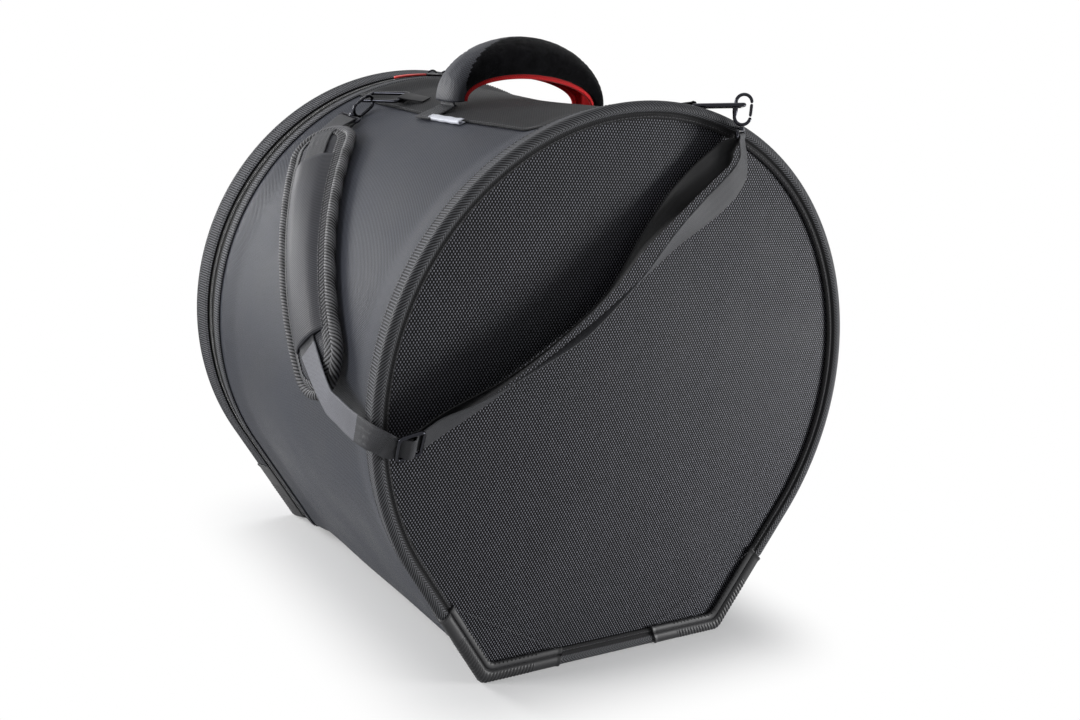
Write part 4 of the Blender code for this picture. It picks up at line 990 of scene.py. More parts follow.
@dataclass
class Shell:
    """Padded wall, front panel and lid, with their linings."""

    rim: Rim
    wall: Wall
    cover: float = 1.2 * MM
    foam: float = 11.8 * MM
    panel_dome: float = 8.0 * MM
    lid_dome: float = 5.0 * MM
    wall_start: float = 0.0067
    wall_end: float = 0.4191
    lining_end: float = 0.4327
    flat_share: float = 0.955
    lining_lead: float = 1.4 * MM
    lining_gap: float = 0.8 * MM
    wall_step: float = 7 * MM
    panel_step: float = 8 * MM
    edge: float = 6.6 * MM
    inner_edges: Pair = (8.2 * MM, 7.8 * MM)
    panel_depths: tuple[float, float, float, float] = (4.9 * MM, 6.2 * MM, 6.6 * MM, 18.4 * MM)

    def ripple(self, run: float, place: float) -> float:
        """Small soft unevenness of the padded wall.

        Args:
            run: Distance along the rim.
            place: Y place.

        Returns:
            Height over the smooth wall.
        """
        edge = min(1.0, (place - 0.024) / 0.04, (0.41 - place) / 0.04)
        if edge <= 0:
            return 0.0
        broad = noise.noise(Vector((run * 7.0, place * 9.0, 0.3)))
        pull = noise.noise(Vector((run * 30.0, place * 5.0, 4.1)))
        return edge * (broad * 1.1 + pull * 0.25) * MM

    def build_wall(self) -> None:
        """Cover and lining of the wall."""
        runs = self.rim.stations(self.wall_step)
        places = spaced(self.wall_start, self.wall_end, 64)
        section = [(0.0, place) for place in places] + [(self.cover, place) for place in reversed(places)]
        widths = places + [places[-1] + self.cover + place for place in places]
        widths.append(places[-1] * 2 + 2 * self.cover)

        def outer(row: int, column: int) -> Vector:
            """Point of the cover's skin."""
            depth, place = section[column % len(section)]
            return self.wall.at(runs[row], place, self.ripple(runs[row], place) - depth)

        cover = formed("wall_cover", runs, widths, outer)
        settle(cover, Body.BAG, "side_nylon", [PALETTE.side], "body_cover")
        inner_places = spaced(self.wall_start + self.foam + self.lining_lead, self.lining_end, 24)
        deep = self.cover + CLEARANCE
        ring = [(deep + self.lining_gap, place) for place in inner_places]
        ring += [(deep + self.foam, place) for place in reversed(inner_places)]

        def inner(row: int, column: int) -> Vector:
            """Point of the lining's skin."""
            depth, place = ring[column % len(ring)]
            return self.wall.at(runs[row], place, -depth)

        lining_widths = [index * 17 * MM for index in range(len(ring) + 1)]
        lining = formed("wall_lining", runs, lining_widths, inner)
        settle(lining, Body.BAG, "lining", [PALETTE.lining], "body_foam", "body_lining")

    def panel(self, name: str, inset: float, faces: Pair, domes: Pair, shares: int = 30) -> Piece:
        """Domed panel across the rim.

        Args:
            name: Name of the piece.
            inset: Inset of its edge.
            faces: Y places of its two faces at the edge.
            domes: How far each face swells, along Y.
            shares: Rings from the middle to the edge.

        Returns:
            The panel.
        """
        runs = self.rim.stations(self.panel_step)
        steps = [math.sin(math.pi / 2 * step / shares) for step in range(shares + 1)]
        column = [(share, 0) for share in steps] + [(share, 1) for share in reversed(steps)]
        widths = [self.rim.radius * index / shares for index in range(len(column))]
        centre = Vector((0.0, 0.0, self.rim.radius))

        def place(row: int, number: int) -> Vector:
            """Point of a ring.

            Args:
                row: Station along the rim.
                number: Ring, counted over both faces.

            Returns:
                The point.
            """
            share, face = column[number]
            edge = self.rim.at(runs[row], inset, 0.0)
            flat = centre + (edge - centre) * share
            swell = domes[face] * max(0.0, 1 - (share / self.flat_share) ** 2)
            flat.y = faces[face] + swell
            if 0 < share < 1:
                pucker = noise.noise(Vector((flat.x * 6.0, faces[0] * 3, flat.z * 6.0)))
                flat.y += pucker * 0.8 * MM * (1 - share**6) * math.copysign(1.0, domes[0])
            return flat

        return formed(name, runs, widths, place)

    def build_panel(self, end: End, name: str, stem: str, dome: float, inner_edge: float) -> None:
        """Panel across one rim, with its foam and lining swelling behind it.

        Args:
            end: Which rim.
            name: Name of the panel.
            stem: What the nodes of its layers start with.
            dome: How far it swells, along Y.
            inner_edge: Inset of its inner layers.
        """
        face, back, foam, lining = (self.rim.behind(end, depth) for depth in self.panel_depths)
        outer = self.panel(name, self.edge, (face, back), (dome, dome))
        settle(outer, end.body, "ballistic_weave", [PALETTE.panel], f"{stem}_cover")
        inner = self.panel(f"{stem}_inside", inner_edge, (foam, lining), (dome, 0.0), 16)
        settle(inner, end.body, "lining", [PALETTE.lining], f"{stem}_foam", f"{stem}_lining")

    def build(self) -> None:
        """Build the whole shell."""
        self.build_wall()
        self.build_panel(FRONT, "front_panel", "front_panel", -self.panel_dome, self.inner_edges[0])
        self.build_panel(REAR, "lid_panel", "lid", self.lid_dome, self.inner_edges[1])


@dataclass
class Trim:
    """Rim bindings, corner patches, welt, zip and base gusset."""

    rim: Rim
    wall: Wall
    patch_arm: float = 0.090
    patch_thickness: float = 1.0 * MM
    tooth_pitch: float = 2.4 * MM
    rib_pitch: float = 4.0 * MM
    rib_height: float = 0.75 * MM
    rib_share: float = 0.62
    lip: float = 0.9 * MM
    lip_reach: float = 4 * MM
    notches: int = 11
    notch_place: Pair = (16.6 * MM, -0.7 * MM)
    notch: Triple = (0.45 * MM, 0.6 * MM, 1.9 * MM)
    tooth: Triple = (0.95 * MM, 0.85 * MM, 1.45 * MM)
    tooth_apart: float = 1.65 * MM
    rib_band: Pair = (9 * MM, 39 * MM)
    ridge: Pair = (20 * MM, 36 * MM)
    ring_step: float = 3.5 * MM
    patch_step: float = 0.55 * MM
    patch_trim: float = 2 * MM
    strip_step: float = 8 * MM
    strip_start: float = 0.9 * MM
    tape_start: float = 1.0 * MM
    welt_step: float = 10 * MM
    welt_pitch: float = 3.6 * MM
    base_start: float = 1.5 * MM
    seam_pitch: float = 4.2 * MM
    face_seam: Pair = (13.9 * MM, 0.2 * MM)
    wall_seam: Pair = (2.6 * MM, 19.5 * MM)
    zip_tape: float = 16.5 * MM
    zip_heights: Pair = (-0.8 * MM, 0.05 * MM)
    teeth_start: float = 9 * MM
    tooth_height: float = 1.1 * MM
    lid_edge: float = 6.5 * MM
    welt: Pair = (0.4100, 0.4262)
    welt_heights: Pair = (0.3 * MM, 2.3 * MM)
    welt_seam: float = 1.8 * MM
    welt_seam_height: float = 2.2 * MM
    gusset: Pair = (0.4265, 0.4636)
    gusset_insets: Pair = (6.5 * MM, 7.3 * MM)

    @property
    def base_run(self) -> float:
        """Run at which the corner patch starts on the base."""
        return self.rim.base_half - self.patch_arm

    def in_patch(self, run: float) -> bool:
        """Whether a run lies under a corner patch."""
        run = min(run, self.rim.runs[-1] - run)
        return abs(run - self.rim.base_half) < self.patch_arm

    def ring(
        self,
        name: str,
        section: list[Pair],
        runs: list[float],
        closed: bool,
        shift: Callable[[float], float] | None = None,
        relief: Relief | None = None,
        part: Band | None = None,
    ) -> Piece:
        """Piece that follows the rim with one section.

        Args:
            name: Name of the piece.
            section: Corners of the section as an inset and a Y place.
            runs: Runs of its rings.
            closed: Whether it goes all the way round.
            shift: Added inset at a run.
            relief: Height of its ribs at a run and a width.
            part: Material number at a length and a width.

        Returns:
            The piece.
        """
        soft = rounded([Vector(corner) for corner in section], 2)
        widths = lengths(soft, True)
        total = len(soft)
        area = sum(soft[index - 1].cross(soft[index]) for index in range(total))
        outwards = []
        for index in range(total):
            along = (soft[(index + 1) % total] - soft[index - 1]).normalized()
            outwards.append(Vector((along.y, -along.x)) * math.copysign(1.0, area))

        def place(row: int, column: int) -> Vector:
            """Corner of the section at a station.

            Args:
                row: The station.
                column: The corner.

            Returns:
                The point.
            """
            index = column % total
            run = runs[row]
            spot = soft[index] + outwards[index] * (relief(run, widths[index]) if relief else 0.0)
            inset = spot.x + (shift(run) if shift else 0.0)
            return self.rim.at(run, inset, spot.y)

        return formed(name, runs, widths, place, part, capped=not closed)

    def binding(self, end: End, runs: list[float]) -> None:
        """Folded tape over one rim.

        Args:
            end: Which rim.
            runs: Runs of its rings.
        """
        corners = in_mm([
            (5.2, 24.0), (3.6, 24.2), (1.6, 12.0), (0.2, 5.0), (-0.8, 2.0), (-0.2, -0.8), (2.5, -2.8),
            (6.0, -3.0), (9.6, -1.2), (10.8, 0.9), (11.6, 0.9), (13.5, 0.2), (16.0, 1.6), (16.4, 4.4),
            (4.9, 4.6),
        ])

        def sunk(run: float) -> float:
            """How far the binding sinks under a patch."""
            return self.patch_thickness + CLEARANCE if self.in_patch(run) else 0.0

        def part(_run: float, width: float) -> int:
            """Number of the finish at a width."""
            return sum(width >= edge for edge in self.ridge)

        section = [(inset, self.rim.behind(end, depth)) for inset, depth in corners]
        closed = abs(runs[-1] - runs[0] - self.rim.runs[-1]) < MM
        piece = self.ring(f"{end.name}_tape", section, runs, closed, sunk, None, part)
        # The third finish is the tape darkened on its face inside the groove: painted shade
        finishes = [PALETTE.tape_ribs, PALETTE.tape, PALETTE.tape_groove_shade]
        settle(piece, end.body, "binding_tape", finishes, f"{end.name}_binding")
        self.seam("tape_stitches", end, runs, self.face_seam, (0.25, -1.0))
        self.seam("tape_wall_stitches", end, runs, self.wall_seam, (-1.0, -0.1))

    def seam(self, name: str, end: End, runs: list[float], spot: Pair, lean: Pair) -> None:
        """Row of stitches along the rim, outside the corner patches.

        Args:
            name: Name of the piece, after its rim's.
            end: Which rim.
            runs: Runs of the tape's rings.
            spot: Inset and depth of the row.
            lean: Outwards direction, as an inwards part and a part along Y.
        """
        path = []
        ups = []
        tilt = Vector((0.0, -lean[1] if end.rear else lean[1], 0.0))
        for run in runs:
            if self.in_patch(run):
                continue
            path.append(self.rim.at(run, spot[0], self.rim.behind(end, spot[1])))
            ups.append(self.rim.outwards(run) * -lean[0] + tilt)
        row = stitches(f"{end.name}_{name}", path, ups, self.seam_pitch)
        settle(row, end.body, "binding_tape", [PALETTE.thread])

    def patch(self, end: End, hand: str) -> None:
        """Moulded corner patch with ribs round its outer band, and notches in its inner edge drawn as
        near-black grains of painted shade.

        Args:
            end: Which rim.
            hand: left, or right on the +X side.
        """
        corners = in_mm([
            (5.4, 25.4), (3.8, 25.5), (0.8, 12.0), (-0.6, 4.0), (-1.4, 1.0), (-0.6, -2.2), (2.0, -4.0),
            (6.0, -4.3), (9.8, -3.0), (10.9, -0.6), (11.7, -0.6), (12.6, -2.0), (16.6, -1.0), (18.0, 0.6),
            (17.6, 2.6), (10.0, 0.9), (2.0, -1.0), (1.2, 2.0),
        ])
        section = [(inset, self.rim.behind(end, depth)) for inset, depth in corners]
        reach = self.patch_arm - self.patch_trim
        middle = self.rim.base_half if hand == "right" else self.rim.runs[-1] - self.rim.base_half
        runs = self.rim.stations(self.patch_step, middle - reach, middle + reach)
        rib_zone = self.patch_arm * self.rib_share

        def ribs(run: float, width: float) -> float:
            """Height of the ribs, and of the thin lip at both ends.

            Args:
                run: Distance along the rim.
                width: Distance round the section.

            Returns:
                The height.
            """
            away = abs(run - middle)
            if away > rib_zone or not self.rib_band[0] < width < self.rib_band[1]:
                return self.lip * max(0.0, 1 - (reach - away) / self.lip_reach)
            return self.rib_height * (abs(math.cos(math.pi * away / self.rib_pitch)) - 0.5)

        name = f"corner_patch_{end.name}_{hand}"
        piece = self.ring(name, section, runs, False, None, ribs)
        settle(piece, end.body, "ribbed_patch", [PALETTE.vinyl], f"{end.name}_corner_patch_{hand}")
        up = Vector((0.0, 1.0 if end.rear else -1.0, 0.0))
        frames = []
        for number in range(-self.notches, self.notches + 1):
            run = middle + rib_zone * number / self.notches
            place = self.rim.at(run, self.notch_place[0], self.rim.behind(end, self.notch_place[1]))
            frames.append(laid(place, self.rim.outwards(run), up, self.notch))
        # Near-black grains in the notches: painted shade of the slots
        settle(grains(f"{name}_notches", frames), end.body, "ribbed_patch", [PALETTE.slot_painted_shade])

    def strip(self, name: str, places: Pair, heights: Pair, closed: bool) -> Piece:
        """Flat tape round the wall between two Y places.

        Args:
            name: Name of the piece.
            places: Its two edges.
            heights: Height of its under and upper face over the wall line.
            closed: Whether it runs all the way round, or leaves the base's middle free.

        Returns:
            The tape.
        """
        low, high = (self.wall.inset - height for height in heights)
        shoulder = self.wall.inset - heights[1] * 0.8
        first, last = places
        section = [(low, first), (low, last), (shoulder, last), (high, (first + last) / 2), (shoulder, first)]
        start = 0.0 if closed else self.base_run - self.strip_start
        runs = self.rim.stations(self.strip_step, start, self.rim.runs[-1] - start)
        return self.ring(name, section, runs, closed)

    def build_zip(self) -> None:
        """Zip tapes, coils and the welt beside them."""
        spans = {
            FRONT: (ZIP_LINE - self.zip_tape, ZIP_LINE - CLEARANCE / 2),
            REAR: (ZIP_LINE + CLEARANCE / 2, self.rim.depth - self.lid_edge),
        }
        for end, node in ((FRONT, "body"), (REAR, "lid")):
            tape = self.strip(f"zip_tape_{end.name}", spans[end], self.zip_heights, False)
            settle(tape, end.body, "zip_tape", [PALETTE.zip_tape], f"zip_tape_{node}")
        welt = self.strip("welt", self.welt, self.welt_heights, True)
        settle(welt, Body.BAG, "side_nylon", [PALETTE.tape_ribs], "rear_welt")
        for end, sign, node in ((FRONT, -1, "body"), (REAR, 1, "lid")):
            frames = []
            start = self.rim.base_half + self.teeth_start
            for run in self.rim.stations(self.tooth_pitch, start, self.rim.runs[-1] - start):
                run += self.tooth_pitch / 2 if end.rear else 0.0
                across = ZIP_LINE + sign * self.tooth_apart
                place = self.rim.at(run, self.wall.inset - self.tooth_height, across)
                frames.append(laid(place, Vector((0.0, 1.0, 0.0)), self.rim.outwards(run), self.tooth))
            coil = grains(f"zip_teeth_{end.name}", frames)
            settle(coil, end.body, "zip_coil", [PALETTE.coil], f"zip_coil_{node}")
        runs = self.rim.stations(self.welt_step)
        ups = [self.rim.outwards(run) for run in runs]
        for number, spot in enumerate((self.welt[0] + self.welt_seam, self.welt[1] - self.welt_seam)):
            path = [self.rim.at(run, self.wall.inset - self.welt_seam_height, spot) for run in runs]
            row = stitches(f"welt_stitches_{number + 1}", path, ups, self.welt_pitch)
            settle(row, Body.BAG, "side_nylon", [PALETTE.thread])

    def build_base(self) -> None:
        """Gusset and the two halves of the rear binding along the base, where the lid turns."""
        half = self.base_run - self.base_start
        spans = [half * (2 * step / 24 - 1) for step in range(25)]

        def bar(name: str, corners: list[Pair]) -> Piece:
            """Straight bar along the base.

            Args:
                name: Name of the bar.
                corners: Insets and Y places of its section.

            Returns:
                The bar.
            """
            soft = rounded([Vector(corner) for corner in corners], 1)
            sections = [[Vector((span, spot, inset)) for inset, spot in soft] for span in spans]
            return swept(name, sections, False)

        def behind(corners: list[Pair]) -> list[Pair]:
            """Corners behind the body, in metres."""
            return [(inset, self.rim.depth + depth) for inset, depth in in_mm(corners)]

        lid_half = behind([(0.0, 1.5), (16, -3), (16, -4.6), (6.2, -4.6), (3.1, -3), (0.0, -1.2)])
        body_half = behind([(0.0, -1.5), (4.5, -24), (6.2, -24), (6.2, -5.2), (3.1, -3.6)])
        low, high = self.gusset_insets
        near, far = self.gusset
        tape = [PALETTE.tape]
        settle(bar("lid_base_tape", lid_half), Body.LID, "binding_tape", tape, "lid_base_binding")
        settle(bar("rear_base_tape", body_half), Body.BAG, "binding_tape", tape, "rear_base_binding")
        gusset = bar("hinge_gusset", [(low, near), (low, far), (high, far), (high, near)])
        settle(gusset, Body.BAG, "side_nylon", [PALETTE.side], "base_gusset")

    def build(self) -> None:
        """Build all the trim."""
        self.binding(FRONT, self.rim.stations(self.ring_step))
        start = self.base_run - self.tape_start
        self.binding(REAR, self.rim.stations(self.ring_step, start, self.rim.runs[-1] - start))
        for end in (FRONT, REAR):
            for hand in ("left", "right"):
                self.patch(end, hand)
        self.build_zip()
        self.build_base()


@dataclass
class TopPanel:
    """Twill panel over the top of the wall and the folded white tag in its side seam."""

    wall: Wall
    half: float = 0.121
    thickness: float = 0.9 * MM
    start: float = 0.0246
    end: float = 0.4094
    tag_place: float = 0.203
    tag_length: float = 0.066
    tag_reach: float = 8 * MM
    tag_loop: float = 4.2 * MM
    tag_half: float = 0.35 * MM
    hem: float = 0.8 * MM
    hem_width: float = 6 * MM
    seam_inset: float = 3 * MM
    seam_height: float = 0.9 * MM
    wave: float = 0.25 * MM

    def build_panel(self) -> None:
        """The panel with its turned edges."""
        places = spaced(self.start, self.end, 60)

        def sections(arc: float) -> Points:
            """Section of the panel, with its hem.

            Args:
                arc: Arc length from the top.

            Returns:
                The section.
            """
            hem = self.hem if self.half - abs(arc) < self.hem_width else 0.0
            upper = [self.wall.on_arc(arc, place, CLEARANCE + self.thickness + hem) for place in places]
            return upper + [self.wall.on_arc(arc, place, CLEARANCE) for place in reversed(places)]

        piece = swept("top_panel", [sections(self.half * (2 * step / 48 - 1)) for step in range(49)], False)
        settle(piece, Body.BAG, "top_twill", [PALETTE.top], "top_reinforcement")
        for number, arc in enumerate((-self.half + self.seam_inset, self.half - self.seam_inset)):
            height = CLEARANCE + self.thickness + self.seam_height
            path = [self.wall.on_arc(arc, place, height) for place in places]
            up = self.wall.rim.outwards(self.wall.rim.half + arc)
            row = stitches(f"top_panel_stitches_{number + 1}", path, [up] * len(path))
            settle(row, Body.BAG, "top_twill", [PALETTE.thread])

    def build_tag(self) -> None:
        """The tag: a ribbon folded back on itself."""
        radius = self.tag_loop / 2 - self.tag_half
        straight = self.tag_reach - self.tag_loop / 2
        middle = CLEARANCE + self.tag_loop / 2
        start = self.half + CLEARANCE

        def side(offset: float) -> list[Pair]:
            """One face of the folded tag's profile.

            Args:
                offset: Distance from the fold's middle line.

            Returns:
                Arc lengths and heights.
            """
            leaf = [start + straight * step / 4 for step in range(4)]
            points = [(arc, middle - radius - offset) for arc in leaf]
            for step in range(9):
                turn = -math.pi / 2 + math.pi * step / 8
                reach = start + straight + (radius + offset) * math.cos(turn)
                points.append((reach, middle + (radius + offset) * math.sin(turn)))
            return points + [(arc, middle + radius + offset) for arc in reversed(leaf)]

        profile = side(self.tag_half) + side(-self.tag_half)[::-1]
        rings = []
        for step in range(21):
            place = self.tag_place + (step / 20 - 0.5) * self.tag_length
            lift = self.wave * math.sin(step * 0.9)
            rings.append([self.wall.on_arc(arc, place, rise + lift + CLEARANCE) for arc, rise in profile])
        settle(swept("folded_tag", rings, False), Body.BAG, "tag_white", [PALETTE.tag], "side_tag")

    def build(self) -> None:
        """Build the panel and its tag."""
        self.build_panel()
        self.build_tag()


@dataclass
class Handle:
    """Padded handle: an arched velour cover with satin ends and a red lining, on two sewn feet."""

    wall: Wall
    place: float = 0.245
    base: float = 0.5400
    outer: Pair = (0.098, 0.067)
    inner: Pair = (0.080, 0.027)
    half: float = 23 * MM
    cover: float = 5.2 * MM
    liner: float = 1.4 * MM
    turns: Pair = (-3.0, 183.0)
    satin_run: Pair = (0.012, 0.083)
    satin_width: float = 50 * MM
    hollow: float = 1.25
    edge_rise: float = 3.0 * MM
    ridge: float = 0.8 * MM
    foot_length: float = 0.040
    foot_half: float = 15.5 * MM
    foot_lift: float = 3.1 * MM
    foot_end: float = 6.8 * MM
    foot_thickness: float = 2.0 * MM
    foot_seam_start: float = 14 * MM
    foot_margin: float = 3 * MM
    liner_gap: float = 0.5 * MM
    liner_rise: float = 1.0 * MM
    swell: float = 1.8 * MM
    held_rise: float = 8 * MM
    free_rise: float = 12 * MM
    lip: float = 1.4 * MM
    ridge_rises: Triple = (2.0 * MM, 5.0 * MM, 8.0 * MM)

    def frame(self, turn: float) -> tuple[Vector, Vector, float]:
        """Outer point, inwards direction and reach at a turn of the arch.

        Args:
            turn: Turn of the arch, in radians.

        Returns:
            The point, the direction and the reach.
        """
        far = Vector((self.outer[0] * math.cos(turn), self.outer[1] * math.sin(turn)))
        near = Vector((self.inner[0] * math.cos(turn), self.inner[1] * math.sin(turn)))
        return far, (near - far).normalized(), (near - far).length

    def at(self, turn: float, across: float, depth: float) -> Vector:
        """Point at a turn, a crosswise distance and a depth below the arch's crest.

        Args:
            turn: Turn of the arch, in radians.
            across: Crosswise distance.
            depth: Depth below the crest.

        Returns:
            The point.
        """
        far, inwards, _ = self.frame(turn)
        flat = far + inwards * depth
        return Vector((flat.x, self.place + across, self.base + flat.y))

    def arch(self, section: Callable[[float], list[Pair]], steps: int = 72) -> list[Points]:
        """Sections along the arch from one end to the other.

        Args:
            section: Crosswise distances and depths at a reach.
            steps: Spans along the arch.

        Returns:
            The sections.
        """
        rings = []
        for turn in self.sweep(steps):
            flat = rounded([Vector(corner) for corner in section(self.frame(turn)[2])], 2)
            rings.append([self.at(turn, across, depth) for across, depth in flat])
        return rings

    def sweep(self, steps: int) -> list[float]:
        """Turns of the arch from its last end to its first."""
        first, last = (math.radians(turn) for turn in self.turns)
        return spaced(last, first, steps)

    def build_cover(self) -> None:
        """Padded cover."""
        half = self.half
        wall = self.cover
        inside = half - wall

        def section(full: float) -> list[Pair]:
            """Section of the padded cover.

            Args:
                full: Reach from the outer to the inner arch.

            Returns:
                Its corners.
            """
            reach = full - self.edge_rise
            outer = [(-half + 1.6 * MM, reach), (-half - 0.8 * MM, reach * 0.62), (-half, reach * 0.30)]
            outer.append((-half * 0.62, 0.0))
            inner = [(inside, reach - 0.6 * MM), (inside, wall + 5 * MM), (inside - 4 * MM, wall + 0.6 * MM)]
            return outer + [(0.0, -0.6 * MM)] + flipped(outer) + inner + flipped(inner)

        def part(run: float, width: float) -> int:
            """Satin at one end and velour elsewhere."""
            share = min(1.0, width / self.satin_width) if width < 2 * self.satin_width else 0.0
            return int(run < self.satin_run[0] + self.satin_run[1] * share**2)

        def free(place: Vector) -> float:
            """How far a point may swell, held near the ends and inside.

            Args:
                place: The point.

            Returns:
                Share of the full swell.
            """
            rise = place.z - self.base
            if math.hypot(place.x / self.inner[0], rise / self.inner[1]) < self.hollow:
                return 0.0
            depth = min(abs(place.y - self.place - half), abs(place.y - self.place + half))
            loose = min(1.0, max(0.0, (rise - self.held_rise) / self.free_rise))
            return loose * (0.4 + 0.6 * min(1.0, depth / half))

        piece = swept("handle_velour", self.arch(section, 96), False, part)
        puffed(piece, free, self.swell)
        nodes = ("handle_cover", "handle_foam", "handle_webbing")
        settle(piece, Body.HANDLE, "velour", [PALETTE.velour, PALETTE.satin], *nodes)

    def build_liner(self) -> None:
        """Red lining inside the cover, whose edges roll out under it."""
        wide = self.half - self.cover - self.liner_gap
        deep = self.cover + self.liner_rise
        thick = self.liner

        def section(reach: float) -> list[Pair]:
            """Section of the lining.

            Args:
                reach: Reach from the outer to the inner arch.

            Returns:
                Its corners.
            """
            lip = reach + self.lip
            outer = [
                (-wide - 3.0 * MM, lip - 2.4 * MM),
                (-wide - 2.6 * MM, lip),
                (-wide + thick, lip + 0.4 * MM),
                (-wide + thick, deep + 6 * MM),
                (-wide + thick + 4 * MM, deep + thick),
            ]
            inner = [(wide, reach - 4.0 * MM), (wide, deep + 4.6 * MM), (wide - 4 * MM, deep)]
            return outer + flipped(outer) + inner + flipped(inner)

        piece = swept("handle_lining", self.arch(section), False)
        settle(piece, Body.HANDLE, "handle_red", [PALETTE.red], "handle_liner")
        turns = self.sweep(80)
        ridges = [(side, rise) for side in (-1, 1) for rise in self.ridge_rises]
        for number, (side, rise) in enumerate(ridges):
            across = side * (wide - thick - 0.1 * MM)
            path = [self.at(turn, across, self.frame(turn)[2] - rise) for turn in turns]
            radii = tapered(len(path), self.ridge)
            ridge = wire(f"handle_lining_ridge_{number + 1}", path, radii, False, 8)
            settle(ridge, Body.HANDLE, "handle_red", [PALETTE.red])

    def build_foot(self, name: str, sign: int) -> None:
        """Webbing foot, sewn to the top panel with a crossed box.

        Args:
            name: left or right.
            sign: 1 on the -X side.
        """
        far, inwards, _ = self.frame(math.radians(self.turns[0]))
        end = far + inwards * self.foot_end
        lift = self.foot_lift

        def over(run: float, width: float, height: float) -> Vector:
            """Point over the wall, along the foot."""
            return self.wall.on_arc(sign * (end.x + run), self.place + width, height)

        spots = [over(self.foot_length, 0.0, lift), over(self.foot_length / 2, 0.0, lift)]
        spots.append(over(4 * MM, 0.0, lift + 2 * MM))
        tip = Vector((-sign * end.x, self.place, self.base + end.y))
        spots += [tip - Vector((0.0, 0.0, 5 * MM)), tip - Vector((0.0, 0.0, 0.3 * MM))]
        centres, ways = hermite(spots, [Vector((0.0, 1.0, 0.0))] * len(spots), 8)
        narrow = [1.0] * (len(centres) - 9) + [1 - 0.02 * step for step in range(9)]
        piece = ribbon(f"handle_webbing_{name}", centres, ways, self.foot_half, self.foot_thickness, narrow)
        piece.data.materials.append(PALETTE.tape.material())
        tuple(spots[2])
        tuple(spots[3])
        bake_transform(piece)
        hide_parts(f"handle_foot_{name}")
        LOG.info("%s bends from %s to %s", piece.name, Body.BAG.value, Body.HANDLE.value)
        frames = box_stitches(
            lambda run, width: over(run, width, lift + 1.4 * MM),
            (self.foot_seam_start, self.foot_length - self.foot_margin),
            self.foot_half - self.foot_margin,
            self.wall.rim.outwards(self.wall.rim.half + sign * (end.x + self.foot_length / 2)),
        )
        settle(grains(f"handle_box_{name}", frames), Body.BAG, "webbing", [PALETTE.thread])

    def build(self) -> None:
        """Build the handle."""
        self.build_cover()
        self.build_liner()
        self.build_foot("left", 1)
        self.build_foot("right", -1)


def puffed(piece: Piece, free: Callable[[Vector], float], cap: float) -> None:
    """Blow the padded parts of a piece up by cloth simulation, so that they swell and crease.

    Args:
        piece: The piece, with an even mesh.
        free: How freely each point moves, from 0 on the seams to 1.
        cap: Furthest that a point may move.
    """
    group = piece.vertex_groups.new(name="held")
    for vertex in piece.data.vertices:
        group.add([vertex.index], 1.0 - free(vertex.co), "REPLACE")
    cloth = piece.modifiers.new("cloth", "CLOTH")
    settings = {
        "quality": 6,
        "mass": 0.3,
        "tension_stiffness": 12.0,
        "compression_stiffness": 12.0,
        "bending_stiffness": 0.4,
        "vertex_group_mass": group.name,
        "use_pressure": True,
        "uniform_pressure_force": 4.0,
        "shrink_min": -0.012,
    }
    for key, value in settings.items():
        setattr(cloth.settings, key, value)
    cloth.settings.effector_weights.gravity = 0.0
    cloth.point_cache.frame_start = 1
    cloth.point_cache.frame_end = CLOTH_FRAMES
    scene = bpy.context.scene
    for frame in range(1, CLOTH_FRAMES + 1):
        scene.frame_set(frame)
    swollen = piece.evaluated_get(bpy.context.evaluated_depsgraph_get()).data
    moved = [vertex.co.copy() for vertex in swollen.vertices]
    piece.modifiers.remove(cloth)
    scene.frame_set(1)
    for vertex, place in zip(piece.data.vertices, moved):
        move = place - vertex.co
        if move.length > cap:
            move *= cap / move.length
        vertex.co += move
    piece.vertex_groups.remove(group)
    LOG.info("%s swells as padded cloth", piece.name)


def box_stitches(at: Callable[[float, float], Vector], span: Pair, half: float, up: Vector) -> list[Matrix]:
    """Frames of a sewn box with a cross in it.

    Args:
        at: Place of a lengthwise and a crosswise distance.
        span: Start and end of the box along the strap.
        half: Half width of the box.
        up: Outwards direction.

    Returns:
        A frame for each stitch.
    """
    corners = [(place, across) for across in (-half, half) for place in span]
    frames = []
    for first, last in ((0, 1), (2, 3), (0, 2), (1, 3), (0, 3), (2, 1)):
        near = at(*corners[first])
        far = at(*corners[last])
        count = max(2, round((far - near).length / (3.0 * MM)))
        for number in range(count):
            share = (number + 0.5) / count
            place = at(*(a + (b - a) * share for a, b in zip(corners[first], corners[last])))
            frames.append(laid(place, far - near, up, (*STITCH, 1.15 * MM)))
    return frames


def ribbon(
    name: str,
    centres: Points,
    ways: Points,
    half: float,
    thickness: float,
    narrow: list[float] | None = None,
    part: Band | None = None,
) -> Piece:
    """Strap webbing with soft edges along a path.

    Args:
        name: Name of the piece.
        centres: Middle line.
        ways: Width direction at each point.
        half: Half width.
        thickness: Thickness of the webbing.
        narrow: Share of the width at each point.
        part: Material number at a length and a width.

    Returns:
        The strap.
    """
    side = [(-0.98, 0.42), (-0.86, 0.55), (-0.4, 0.5)]
    upper = side + [(0.0, 0.5)] + flipped(side)
    shares = [(-1.0, 0.0)] + upper + [(1.0, 0.0)] + [(-u, -v) for u, v in upper]
    sections = []
    last = len(centres) - 1
    for index, centre in enumerate(centres):
        tangent = (centres[min(last, index + 1)] - centres[max(0, index - 1)]).normalized()
        across = ways[index]
        across = (across - tangent * across.dot(tangent)).normalized()
        face = tangent.cross(across)
        wide = half * (narrow[index] if narrow else 1.0)
        sections.append([centre + across * (u * wide) + face * (v * thickness) for u, v in shares])
    return swept(name, sections, False, part)


